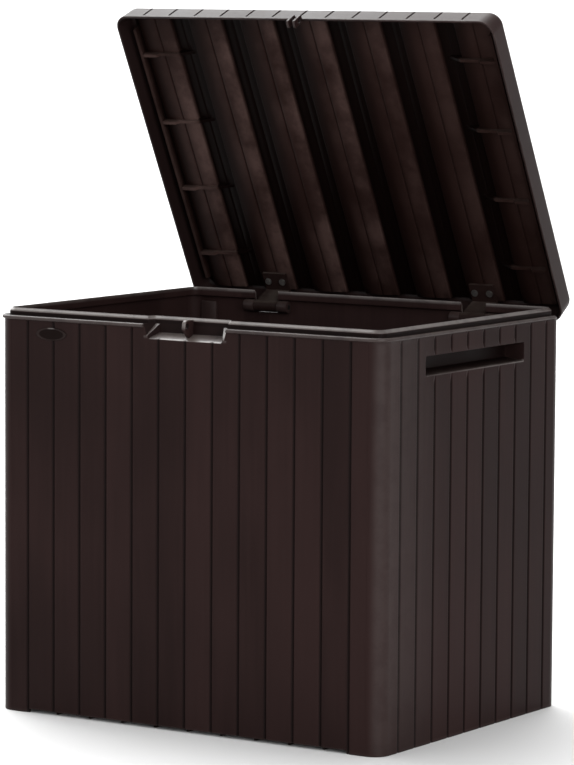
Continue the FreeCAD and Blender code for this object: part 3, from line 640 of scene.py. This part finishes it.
def lid_skin(inset, sizes, x, y):
    """Three sheets of the lid's outer skin (inset 0) or inner face: the middle from front to back at
    each x, and each end from the front corner round to the rear one. The top swells by
    crown (1 - (x/265)^2) (1 - (y/196)^2), and each slot is pressed in along the normal."""
    out, z, nx, nz = (v[None, :] for v in lid_section(inset, sizes))
    count = out.shape[1]
    half = sizes.slot_width / MM / 2
    off = np.abs((x / 40.0 + 0.5) % 1.0 - 0.5)[:, None] * 40.0
    slot = sizes.slot_depth / MM * (1.0 - ease(half * 0.45, half, off)) * (1.0 if inset == 0.0 else 0.0)
    pressed = slot * ease(513.0, 514.4, z)
    zs = z - pressed * nz
    outs = out - pressed * nx
    notch = np.abs(x)[:, None] < 3.2
    zs = np.where(notch & (zs < 513.0), 513.0, zs)
    crown = sizes.crown / MM * np.outer(1.0 - (x / LID_X) ** 2, 1.0 - (y / LID_Y) ** 2)
    back_z = (z - pressed * nz)[:, ::-1]
    front = at(x[:, None], -LID_Y - outs, zs)
    back = at(x[:, None], LID_Y + outs[:, ::-1], back_z)
    middle = at(x[:, None], y[None], LID_EDGE - inset + crown - slot)
    points = np.concatenate([front, middle[:, 1:-1], back], axis=1)
    wear_and_highlight = np.where((z < 509.0) | ((nz > 0.25) & (nz < 0.97)), 0.55, 0.0)[0]
    outer = 1.0 if inset == 0.0 else 0.0
    edge = np.concatenate([wear_and_highlight, np.zeros(len(y) - 2), wear_and_highlight[::-1]])[None]
    # Painted shade in the slots, and over the whole inner face, here and on the ends below.
    painted_shade = np.concatenate([pressed, slot + 0 * crown[:, 1:-1], pressed[:, ::-1]], axis=1) / 1.6
    painted_shade = painted_shade * outer + 0.75 * (1.0 - outer)
    sheets = [sheet(points, edge=edge * outer, painted_shade=painted_shade, plank=plank_marks(x, 40.0, 0.0, 21)[:, None])]
    cy, wx, wy = along_side(LID_Y, y[:, None], np.radians(np.linspace(0.0, 90.0, 17))[1:, None])
    for side in (-1, 1):
        ends = at(side * (LID_X + wx * out), cy + wy * out, z)
        sheets.append(sheet(ends, edge=wear_and_highlight[None] * outer, painted_shade=0.75 * (1.0 - outer), plank=0.4))
    return sheets


def lid_cover_sheets(sizes):
    """The lid's closed shell, outer skin and inner face meeting in the lower edge, with its prongs."""
    near = np.array([-1.3, -1.0, -0.82, -0.64, -0.45, -0.2, 0.0, 0.2, 0.45, 0.64, 0.82, 1.0, 1.3])
    lines = np.arange(-6, 7) * 40.0
    slots = (lines[:, None] + near[None] * sizes.slot_width / MM / 2).ravel()
    x = spread(slots, (lines[:, None] + np.array([10.0, 20.0, 30.0])[None]).ravel()[:-3],
               np.array([-265.0, -259.0, -250.0, 250.0, 259.0, 265.0]), np.array([-3.25, -3.15, 3.15, 3.25]))
    y = np.linspace(-196.0, 196.0, 41)
    sheets = lid_skin(0.0, sizes, x, y) + lid_skin(sizes.skin / MM, sizes, x, y)
    prong = rounded((-219.8, 492.2), (-209.6, 512.0), 2.6, 6)
    for side in (-1, 1):
        low, high = sorted((side * 3.2, side * 6.2))
        sheets.append(eyelet(low, high, prong, PADLOCK, PADLOCK_R))
    for s in sheets:
        s["points"] = opened(s["points"], sizes)
    return sheets


def liner_relief(x, y, sizes):
    """How far the liner stands down from its channels: broad ribs every 80 mm, swollen in the middle
    and slit along it; a rail down each side; dividers that cross the side ribs, step deeper towards
    the edge and slope away in the channel; and a fine groove down each channel."""
    half, deep = sizes.rib_half / MM, sizes.rib_depth / MM
    off = (x / RIB_PITCH + 0.5) % 1.0 * RIB_PITCH - 40.0
    face = deep - sizes.rib_swell / MM * (off / half) ** 2
    rib = face * ease(-half - 2.6, -half + 0.6, off) * (1.0 - ease(half - 0.1, half + 1.9, off))
    slit = 1.1 * (1.0 - ease(0.6, 1.3, np.abs(off - 3.5)))
    rib = rib - slit - 0.7 * (1.0 - ease(0.5, 1.5, 40.0 - np.abs(off)))
    side = np.abs(x)
    rail = 14.0 * (1.0 - ease(1.9, 2.5, np.abs(side - RAIL_X))) * (1.0 - ease(188.0, 191.0, np.abs(y)))
    height = np.interp(side, [192.0, 215.0, 242.0, 246.0, 270.6, 271.2], [0.0, 10.0, 10.0, 14.0, 14.0, 0.0])
    line = np.min([np.abs(y - k) for k in DIVIDERS], axis=0)
    divider = height * (1.0 - ease(1.9, 2.6, line))
    return np.where(rail + divider > 0.01, np.maximum(np.maximum(rib, rail), divider), rib)


def liner_marks(x, relief):
    """The liner's edge and shade marks: a painted sheen, a painted highlight that grows across each rib
    to its far edge, lies on dividers and rails and fades to the right; and painted shade in slits,
    channels, along the near half of each rib and outside the rails."""
    off = (x / RIB_PITCH + 0.5) % 1.0 * RIB_PITCH - 40.0
    painted_sheen = 0.35 * ease(-17.0, 0.0, off) + 0.65 * ease(2.0, 19.0, off)
    painted_sheen = painted_sheen * (1.0 - ease(25.2, 26.2, off)) * (0.4 + 0.6 * ease(0.8, 1.6, np.abs(off - 3.5)))
    painted_shade = np.maximum(0.15 * (1.0 - ease(0.8, 1.5, np.abs(off - 3.5))), ease(25.4, 27.0, np.abs(off)))
    painted_shade = np.maximum(painted_shade, 0.75 * (1.0 - ease(-26.0, 1.0, off)))
    painted_shade = np.maximum(painted_shade, 0.75 * ease(271.0, 272.0, np.abs(x)))
    proud = ease(8.4, 9.4, relief)
    # Painted highlight along the dividers and rails.
    upper = np.where(np.abs(np.abs(x) - RAIL_X) < 3.2, 0.35, 0.8)
    # The painted sheen fades towards the right.
    fade = 1.0 - 0.68 * ease(-60.0, 190.0, x)
    return (painted_sheen * (1.0 - proud) + upper * proud) * fade, painted_shade * (1.0 - proud)


def liner_sheets(sizes):
    """The ribbed panel under the lid: z = 536 - relief below, a flat back above, and a plan with round
    corners, where rows stop at y = 196 + sqrt(8.5^2 - (|x| - 265)^2)."""
    off = np.array([-39.5, -39.0, -38.5, -34.0, -30.0, -27.6, -27.0, -26.4, -25.8, -25.2, -24.4, -22.0,
                    -19.0, -15.0, -11.0, -7.0, -3.0, 0.0, 2.0, 2.4, 2.8, 3.5, 4.2, 4.6, 5.0, 8.0, 12.0,
                    16.0, 20.0, 23.0, 24.6, 25.0, 25.4, 25.8, 26.4, 26.9, 30.0, 34.0, 38.5, 39.0, 39.5, 40.0])
    x = ((np.arange(-4, 5) * RIB_PITCH)[:, None] + off).ravel()
    rail = RAIL_X + np.array([-2.9, -2.5, -2.2, -1.9, 0.0, 1.9, 2.2, 2.5, 2.9])
    step = np.array([192.0, 203.0, 242.0, 246.0, 270.6, 273.0, 273.5])
    x = spread(x, rail, -rail, step, -step)
    x = x[np.abs(x) < 273.6][:, None]
    fine = np.array([-3.0, -2.6, -2.3, -1.9, -1.0, 0.0, 1.0, 1.9, 2.3, 2.6, 3.0])
    ends = np.array([-204.1, -203.4, -191.0, -188.0, 188.0, 191.0, 203.4, 204.1])
    y = spread((DIVIDERS[:, None] + fine).ravel(), np.linspace(-204.5, 204.5, 34), ends)[None]
    limit = LID_Y + np.sqrt(np.clip(8.5 ** 2 - np.clip(np.abs(x) - LID_X, 0.0, 8.5) ** 2, 0.0, None))
    placed = np.clip(y, -limit, limit)
    relief = liner_relief(x, placed, sizes)
    edge, painted_shade = liner_marks(x + 0.0 * placed, relief)
    relief = relief * (0.86 + 0.14 * ease(0.0, 1.1, limit - np.abs(placed)))
    below = at(x, placed, 536.0 - relief)
    above = at(x, placed, 538.0)[:, ::-1]
    both = np.concatenate([below, above], axis=1)
    zero = 0.0 * placed
    edge, painted_shade = (np.concatenate([marks, zero], axis=1) for marks in (edge, painted_shade))
    return [sheet(opened(both, sizes), wrap=(False, True), caps=True, edge=edge, painted_shade=painted_shade, plank=0.5)]


# Finishes

def group(name, numbers, results):
    """A new shader node group with a vector and named numbers going in and named results coming out.
    Returns the tree, the sockets to read from and the sockets to fill."""
    tree = bpy.data.node_groups.new(name, "ShaderNodeTree")
    tree.interface.new_socket("Vector", in_out="INPUT", socket_type="NodeSocketVector")
    for label, default in numbers.items():
        socket = tree.interface.new_socket(label, in_out="INPUT", socket_type="NodeSocketFloat")
        socket.default_value = default
    for label in results:
        tree.interface.new_socket(label, in_out="OUTPUT", socket_type="NodeSocketFloat")
    return tree, tree.nodes.new("NodeGroupInput").outputs, tree.nodes.new("NodeGroupOutput").inputs


def node(tree, kind, inputs=(), **settings):
    """A node with its settings, its inputs set to values or linked from sockets."""
    made = tree.nodes.new(kind)
    for key, value in settings.items():
        setattr(made, key, value)
    for key, value in dict(inputs).items():
        if isinstance(value, bpy.types.NodeSocket):
            tree.links.new(value, made.inputs[key])
        else:
            made.inputs[key].default_value = value
    return made


def rgba(colour, share=1.0):
    """A colour made darker or lighter by a share, with full cover."""
    return tuple(c * share for c in colour) + (1.0,)


def sums(tree, how, a, b=0.0, clamp=False):
    """The result of a Math node on two numbers or sockets."""
    return node(tree, "ShaderNodeMath", {0: a, 1: b}, operation=how, use_clamp=clamp).outputs[0]


def noise(tree, where, scale, detail=3.0, stretch=(1.0, 1.0, 1.0), rough=0.5):
    """Noise on coordinates that are stretched by three factors."""
    moved = node(tree, "ShaderNodeMapping", {"Vector": where, "Scale": stretch})
    made = node(tree, "ShaderNodeTexNoise",
                {"Vector": moved.outputs[0], "Scale": scale, "Detail": detail, "Roughness": rough})
    return made.outputs[0]


def span(tree, value, low, high, to_low=0.0, to_high=1.0):
    """A value carried from one span to another, smoothly and clamped."""
    made = node(tree, "ShaderNodeMapRange",
                {"Value": value, "From Min": low, "From Max": high, "To Min": to_low, "To Max": to_high},
                interpolation_type="SMOOTHSTEP")
    return made.outputs[0]


def grain_group():
    """Moulded grain: long soft streaks along the planks, a fine stipple and slow cloudy tone."""
    tree, start, end = group("moulded_grain", {"Streaks": 1.0, "Stipple": 1.0}, ("Height", "Tone"))
    where = start["Vector"]
    streak = noise(tree, where, 190.0, 4.0, (1.0, 1.0, 0.035), 0.62)
    fine = noise(tree, where, 620.0, 2.0, (1.0, 1.0, 0.06), 0.5)
    lines = sums(tree, "ADD", sums(tree, "MULTIPLY", streak, 0.7), sums(tree, "MULTIPLY", fine, 0.3))
    stipple = noise(tree, where, 1500.0, 1.0)
    cloud = noise(tree, where, 5.0, 2.0, (1.0, 1.0, 0.6))
    height = sums(tree, "ADD", sums(tree, "MULTIPLY", lines, start["Streaks"]),
                  sums(tree, "MULTIPLY", stipple, start["Stipple"]))
    tone = sums(tree, "ADD", sums(tree, "MULTIPLY", cloud, 0.72), sums(tree, "MULTIPLY", streak, 0.28))
    tree.links.new(height, end["Height"])
    tree.links.new(tone, end["Tone"])
    return tree


def wear_and_highlight_group():
    """Rubbed edges and painted highlights: the edge mark, broken up by noise."""
    tree, start, end = group(
        "rubbed_and_highlit_edges", {"Edge": 0.0, "Scale": 34.0, "Even": 0.0, "Amount": 0.5}, ("Factor",))
    patch = span(tree, noise(tree, start["Vector"], start["Scale"], 5.0, rough=0.7), 0.36, 0.68)
    patch = sums(tree, "ADD", patch, start["Even"], True)
    mask = sums(tree, "MULTIPLY", start["Edge"], patch)
    tree.links.new(sums(tree, "MULTIPLY", mask, start["Amount"], True), end["Factor"])
    return tree


def dust_group():
    """Dust: it lies where the surface faces up, but not in grooves and pockets."""
    tree, start, end = group("settled_dust", {"Hollow": 0.0, "Amount": 0.3}, ("Factor",))
    normal = node(tree, "ShaderNodeNewGeometry").outputs["Normal"]
    up = span(tree, node(tree, "ShaderNodeSeparateXYZ", {0: normal}).outputs["Z"], 0.45, 0.95)
    patch = span(tree, noise(tree, start["Vector"], 17.0, 6.0, rough=0.68), 0.3, 0.72)
    where = sums(tree, "SUBTRACT", up, start["Hollow"], True)
    mask = sums(tree, "MULTIPLY", where, patch)
    tree.links.new(sums(tree, "MULTIPLY", mask, start["Amount"], True), end["Factor"])
    return tree


def effect(tree, name, **values):
    """One of the shared node groups, placed with its own values."""
    return node(tree, "ShaderNodeGroup", values, node_tree=bpy.data.node_groups[name])


def blend(tree, share, first, second):
    """Two colours mixed by a share."""
    return node(tree, "ShaderNodeMix", {0: share, 6: first, 7: second}, data_type="RGBA").outputs[2]


def bare(name):
    """An empty node material with its surface shader, the object's coordinates and the tree."""
    material = bpy.data.materials.new(name)
    material.use_nodes = True
    tree = material.node_tree
    tree.nodes.clear()
    shader = tree.nodes.new("ShaderNodeBsdfPrincipled")
    end = tree.nodes.new("ShaderNodeOutputMaterial")
    tree.links.new(shader.outputs[0], end.inputs[0])
    where = tree.nodes.new("ShaderNodeTexCoord").outputs["Object"]
    return material, tree, shader, where


def mark(tree, name):
    """A mark that was kept on the mesh's points."""
    return node(tree, "ShaderNodeAttribute", attribute_name=name, attribute_type="GEOMETRY").outputs["Fac"]


def resin(name, base, looks, marked=True, rough=0.46, streaks=1.0, stipple=0.5, bump=0.12, gloss=0.03,
          wear_and_highlight_amount=0.55, dust=0.3, tones=0.3, shade_to=0.25, wear_and_highlight=None, patches=34.0, even=0.0, shine=0.0):
    """Moulded resin: plank and cloud tones on the base colour, painted shade where the shade mark lies,
    rubbed edges and painted highlights with a polish, dust, and grain in both roughness and bump.
    Pieces without marks use plain ones."""
    material, tree, shader, where = bare(name)
    edge = mark(tree, "edge") if marked else 0.0
    painted_shade = mark(tree, "painted_shade") if marked else 0.0
    grain = effect(tree, "moulded_grain", Vector=where, Streaks=streaks, Stipple=stipple)
    rubbed_and_highlit = effect(tree, "rubbed_and_highlit_edges", Vector=where, Edge=edge, Scale=patches, Even=even, Amount=wear_and_highlight_amount)
    dusty = effect(tree, "settled_dust", Vector=where, Hollow=painted_shade, Amount=dust)
    tone = grain.outputs["Tone"]
    if marked:
        plank = sums(tree, "MULTIPLY", mark(tree, "plank"), 0.15)
        tone = sums(tree, "ADD", sums(tree, "MULTIPLY", tone, 0.85), plank)
    shade = blend(tree, span(tree, tone, 0.3, 0.7), rgba(base, 1.0 - tones), rgba(base, 1.0 + tones))
    if marked:
        # Painted shade: the base darkens where the shade mark lies.
        shade = blend(tree, sums(tree, "MULTIPLY", painted_shade, 0.85), shade, rgba(base, shade_to))
    # The edge mark lightens towards the rubbed colour, which is rubbed wear and painted highlight; on the
    # liner it is the painted sheen.
    shade = blend(tree, rubbed_and_highlit.outputs[0], shade, rgba(wear_and_highlight or looks.rubbed_and_highlit))
    shade = blend(tree, dusty.outputs[0], shade, rgba(looks.dust))
    tree.links.new(shade, shader.inputs["Base Color"])
    rough_now = span(tree, tone, 0.25, 0.75, rough - 0.05, rough + 0.06)
    rough_now = sums(tree, "ADD", rough_now, sums(tree, "MULTIPLY", dusty.outputs[0], 0.25), True)
    tree.links.new(rough_now, shader.inputs["Roughness"])
    raised = node(tree, "ShaderNodeBump",
                  {"Height": grain.outputs["Height"], "Strength": bump, "Distance": 0.0006})
    tree.links.new(raised.outputs[0], shader.inputs["Normal"])
    shader.inputs["Specular IOR Level"].default_value = gloss
    if shine > 0.0:
        tree.links.new(sums(tree, "MULTIPLY", edge, shine, True), shader.inputs["Coat Weight"])
        shader.inputs["Coat Roughness"].default_value = 0.3
    return material


def steel(looks):
    """Zinc-plated steel: mottled grey, with fine brushing in the roughness."""
    material, tree, shader, where = bare("steel_finish")
    spots = noise(tree, where, 900.0, 3.0)
    shade = blend(tree, span(tree, spots, 0.35, 0.65), rgba(looks.steel, 0.62), rgba(looks.steel))
    tree.links.new(shade, shader.inputs["Base Color"])
    brushed = span(tree, noise(tree, where, 2600.0, 2.0), 0.3, 0.7, 0.28, 0.46)
    tree.links.new(brushed, shader.inputs["Roughness"])
    shader.inputs["Metallic"].default_value = 1.0
    return material


def finish(name):
    """A finish that was made before."""
    return bpy.data.materials[name]


# Operators

class DECKBOX_OT_finishes(Operator):
    """Makes the shared node groups and the materials"""
    bl_idname = "deckbox.finishes"
    bl_label = "Make finishes"

    def execute(self, context):
        looks = context.scene.deckbox_looks
        grain_group()
        wear_and_highlight_group()
        dust_group()
        resin("wall_finish", looks.resin, looks, wear_and_highlight_amount=0.8, dust=0.15, even=0.45, shine=1.0)
        resin("lid_finish", looks.resin, looks, streaks=0.9, gloss=0.085, wear_and_highlight_amount=0.3, dust=0.12, shade_to=0.45,
              shine=0.15)
        # The liner's lighter colour along its edge marks is the painted sheen.
        resin("liner_finish", looks.liner, looks, rough=0.36, streaks=0.35, stipple=0.25, bump=0.06,
              gloss=0.02, wear_and_highlight_amount=1.0, dust=0.1, tones=0.2, shade_to=0.12, wear_and_highlight=looks.painted_sheen, patches=9.0,
              even=0.15)
        resin("floor_finish", looks.dark, looks, marked=False, rough=0.5, streaks=0.2, bump=0.08, dust=0.5)
        resin("hinge_finish", looks.dark, looks, marked=False, rough=0.42, streaks=0.1, stipple=0.8,
              bump=0.08, dust=0.2)
        resin("pin_finish", looks.pin, looks, marked=False, rough=0.33, streaks=0.0, stipple=0.4,
              bump=0.05, dust=0.1)
        resin("plaque_finish", looks.dark, looks, rough=0.5, streaks=0.0, stipple=0.5, bump=0.06, gloss=0.02,
              wear_and_highlight_amount=0.8, dust=0.0, shine=1.0)
        steel(looks)
        return {"FINISHED"}


class DECKBOX_OT_front(Operator):
    """Builds the front panel with its latch recess, ramps and staple"""
    bl_idname = "deckbox.front"
    bl_label = "Front panel"

    def execute(self, context):
        sizes = context.scene.deckbox_walls
        face_rows = np.concatenate([[5.0, 8.0], np.arange(40.0, 470.0, 40.0), [478.0, 484.0, 486.0],
                                    np.arange(486.7, 499.0, 0.75)])
        inner_rows = np.concatenate([np.arange(501.0, 481.0, -1.0), [478.0], np.arange(440.0, 30.0, -60.0)])
        wall = straight_wall(-1, face_rows, inner_rows, sizes)
        made = piece("front_wall", [wall, staple_plate(), ramp(-1, sizes), ramp(1, sizes)])
        dress(made, finish("wall_finish"), BOX_BODY, "box_resin", "front_panel")
        return {"FINISHED"}


class DECKBOX_OT_back(Operator):
    """Builds the back panel with its hinge notches and bosses"""
    bl_idname = "deckbox.back"
    bl_label = "Back panel"

    def execute(self, context):
        sizes = context.scene.deckbox_walls
        face_rows = np.concatenate([[5.0, 8.0], np.arange(40.0, 490.0, 40.0), [484.0, 485.5]])
        inner_rows = np.concatenate([[486.0, 484.0], np.arange(440.0, 30.0, -60.0)])
        sheets = [straight_wall(1, face_rows, inner_rows, sizes)]
        for x in (-HINGE_X, HINGE_X):
            sheets.append(boss(x - 34.5, x - 18.5))
            sheets.append(boss(x + 18.5, x + 34.5))
        made = piece("back_wall", sheets)
        dress(made, finish("wall_finish"), BOX_BODY, "box_resin", "back_panel")
        return {"FINISHED"}


class DECKBOX_OT_sides(Operator):
    """Builds both side panels with their corners, grip pockets and laps"""
    bl_idname = "deckbox.sides"
    bl_label = "Side panels"

    def execute(self, context):
        sizes = context.scene.deckbox_walls
        for side, name, stood_for in ((-1, "left_wall", "left_panel"), (1, "right_wall", "right_panel")):
            sheets = [side_wall(side, sizes), lap_plate(side, -1, sizes), lap_plate(side, 1, sizes)]
            made = piece(name, sheets)
            dress(made, finish("wall_finish"), BOX_BODY, "box_resin", stood_for)
        return {"FINISHED"}


class DECKBOX_OT_plaque(Operator):
    """Builds the plain oval plaque"""
    bl_idname = "deckbox.plaque"
    bl_label = "Plaque"

    def execute(self, context):
        made = piece("plaque", [plaque_plate()])
        dress(made, finish("plaque_finish"), BOX_BODY, "badge_resin", "front_badge")
        return {"FINISHED"}


class DECKBOX_OT_lid(Operator):
    """Builds the lid's outer shell with its planks and prongs"""
    bl_idname = "deckbox.lid"
    bl_label = "Lid shell"

    def execute(self, context):
        made = piece("lid_cover", lid_cover_sheets(context.scene.deckbox_lid))
        dress(made, finish("lid_finish"), LID_BODY, "lid_resin", "lid_shell")
        return {"FINISHED"}


class DECKBOX_OT_liner(Operator):
    """Builds the ribbed panel under the lid"""
    bl_idname = "deckbox.liner"
    bl_label = "Lid liner"

    def execute(self, context):
        made = piece("lid_ribbing", liner_sheets(context.scene.deckbox_lid), sharp=40.0)
        dress(made, finish("liner_finish"), LID_BODY, "liner_resin", "lid_liner")
        return {"FINISHED"}


class DECKBOX_OT_hardware(Operator):
    """Gives the floor, the hinges and the screws their finishes"""
    bl_idname = "deckbox.hardware"
    bl_label = "Floor, hinges and screws"

    def execute(self, context):
        finishes = {"floor_panel": "floor_finish", "hinge_arm_left": "hinge_finish",
                    "hinge_arm_right": "hinge_finish", "hinge_pin_left": "pin_finish",
                    "hinge_pin_right": "pin_finish",
                    "panel_screws": "steel_finish", "arm_screws": "steel_finish"}
        for name, chosen in finishes.items():
            slots = frame["nodes"][name].material_slots
            if not slots:
                raise RuntimeError(name + " has no material slot")
            for slot in slots:
                slot.material = finish(chosen)
        return {"FINISHED"}


class DECKBOX_OT_stage(Operator):
    """Sets up the floor, the light and the camera"""
    bl_idname = "deckbox.stage"
    bl_label = "Stage"

    def execute(self, context):
        scene = context.scene
        stage = scene.deckbox_stage
        self.floor(scene, stage)
        self.surround(scene, stage)
        self.camera(scene, stage)
        scene.view_settings.view_transform = "Standard"
        return {"FINISHED"}

    def floor(self, scene, stage):
        """A wide flat floor with a very faint mottle."""
        far = 400.0
        mesh = bpy.data.meshes.new("floor")
        corners = [(-far, -far, 0.0), (far, -far, 0.0), (far, far, 0.0), (-far, far, 0.0)]
        mesh.from_pydata(corners, [], [(0, 1, 2, 3)])
        made = bpy.data.objects.new("floor", mesh)
        scene.collection.objects.link(made)
        material, tree, shader, where = bare("pale_floor")
        shade = blend(tree, noise(tree, where, 3.0), rgba(stage.floor, 0.985), rgba(stage.floor))
        tree.links.new(shade, shader.inputs["Base Color"])
        shader.inputs["Roughness"].default_value = 0.9
        shader.inputs["Specular IOR Level"].default_value = 0.1
        mesh.materials.append(material)

    def surround(self, scene, stage):
        """A soft white surround, dimmer at eye level than overhead, with four broad brighter patches."""
        world = bpy.data.worlds.new("surround")
        scene.world = world
        world.use_nodes = True
        tree = world.node_tree
        way = tree.nodes.new("ShaderNodeTexCoord").outputs["Generated"]
        up = node(tree, "ShaderNodeSeparateXYZ", {0: way}).outputs["Z"]
        level = span(tree, up, 0.0, 0.6, stage.horizon, stage.zenith)
        for aim, inner, outer, power in (((-0.543, 0.406, 0.735), 12.0, 40.0, stage.sky),
                                         ((0.82, -0.55, 0.12), 8.0, 31.0, stage.key),
                                         ((-0.543, 0.833, 0.12), 15.0, 42.0, stage.backdrop),
                                         ((-0.543, -0.833, 0.08), 12.0, 36.0, stage.fill)):
            near = node(tree, "ShaderNodeVectorMath", {0: way, 1: Vector(aim).normalized()},
                        operation="DOT_PRODUCT")
            patch = span(tree, near.outputs["Value"], math.cos(math.radians(outer)),
                         math.cos(math.radians(inner)), 0.0, power)
            level = sums(tree, "ADD", level, patch)
        tree.links.new(level, tree.nodes["Background"].inputs["Strength"])
        tree.nodes["Background"].inputs["Color"].default_value = (1.0, 1.0, 1.0, 1.0)

    def camera(self, scene, stage):
        """A long lens on a line that leaves the aim point at the azimuth and elevation."""
        az, el, roll = stage.azimuth, stage.elevation, stage.roll
        back = Vector((math.sin(az) * math.cos(el), -math.cos(az) * math.cos(el), math.sin(el)))
        level = Vector((math.cos(az), math.sin(az), 0.0))
        above = back.cross(level)
        right = level * math.cos(roll) + above * math.sin(roll)
        up = above * math.cos(roll) - level * math.sin(roll)
        aim = Vector((0.0, 0.0, stage.aim_height))
        place = aim + back * stage.distance + right * stage.slide + up * stage.lift
        lens = bpy.data.cameras.new("camera")
        lens.lens = stage.lens
        lens.clip_end = 2000.0
        made = bpy.data.objects.new("camera", lens)
        turn = Matrix((right, up, back)).transposed().to_4x4()
        made.matrix_world = Matrix.Translation(place) @ turn
        scene.collection.objects.link(made)
        scene.camera = made


OPERATORS = (DECKBOX_OT_finishes, DECKBOX_OT_front, DECKBOX_OT_back, DECKBOX_OT_sides, DECKBOX_OT_plaque,
             DECKBOX_OT_lid, DECKBOX_OT_liner, DECKBOX_OT_hardware, DECKBOX_OT_stage)


class DECKBOX_PT_panel(Panel):
    """Lists the box's sizes, looks and the steps that build it"""
    bl_idname = "DECKBOX_PT_panel"
    bl_label = "Deck storage box"
    bl_space_type = "VIEW_3D"
    bl_region_type = "UI"
    bl_category = "Deck box"

    def draw(self, context):
        for kind in OPERATORS:
            self.layout.operator(kind.bl_idname)
        for name in GROUPS:
            settings = getattr(context.scene, name)
            column = self.layout.column()
            for key in settings.bl_rna.properties.keys():
                if key not in ("rna_type", "name"):
                    column.prop(settings, key)


GROUPS = {"deckbox_walls": DeckBoxWalls, "deckbox_lid": DeckBoxLid, "deckbox_looks": DeckBoxLooks,
          "deckbox_stage": DeckBoxStage}


def register():
    for name, kind in GROUPS.items():
        bpy.utils.register_class(kind)
        setattr(bpy.types.Scene, name, PointerProperty(type=kind))
    for kind in OPERATORS + (DECKBOX_PT_panel,):
        bpy.utils.register_class(kind)


def unregister():
    for kind in reversed(OPERATORS + (DECKBOX_PT_panel,)):
        bpy.utils.unregister_class(kind)
    for name, kind in GROUPS.items():
        delattr(bpy.types.Scene, name)
        bpy.utils.unregister_class(kind)


def main():
    """Builds everything in order."""
    register()
    bpy.ops.deckbox.finishes()
    bpy.ops.deckbox.front()
    bpy.ops.deckbox.back()
    bpy.ops.deckbox.sides()
    bpy.ops.deckbox.plaque()
    bpy.ops.deckbox.lid()
    bpy.ops.deckbox.liner()
    bpy.ops.deckbox.hardware()
    bpy.ops.deckbox.stage()


if __name__ == "__main__":
    main()
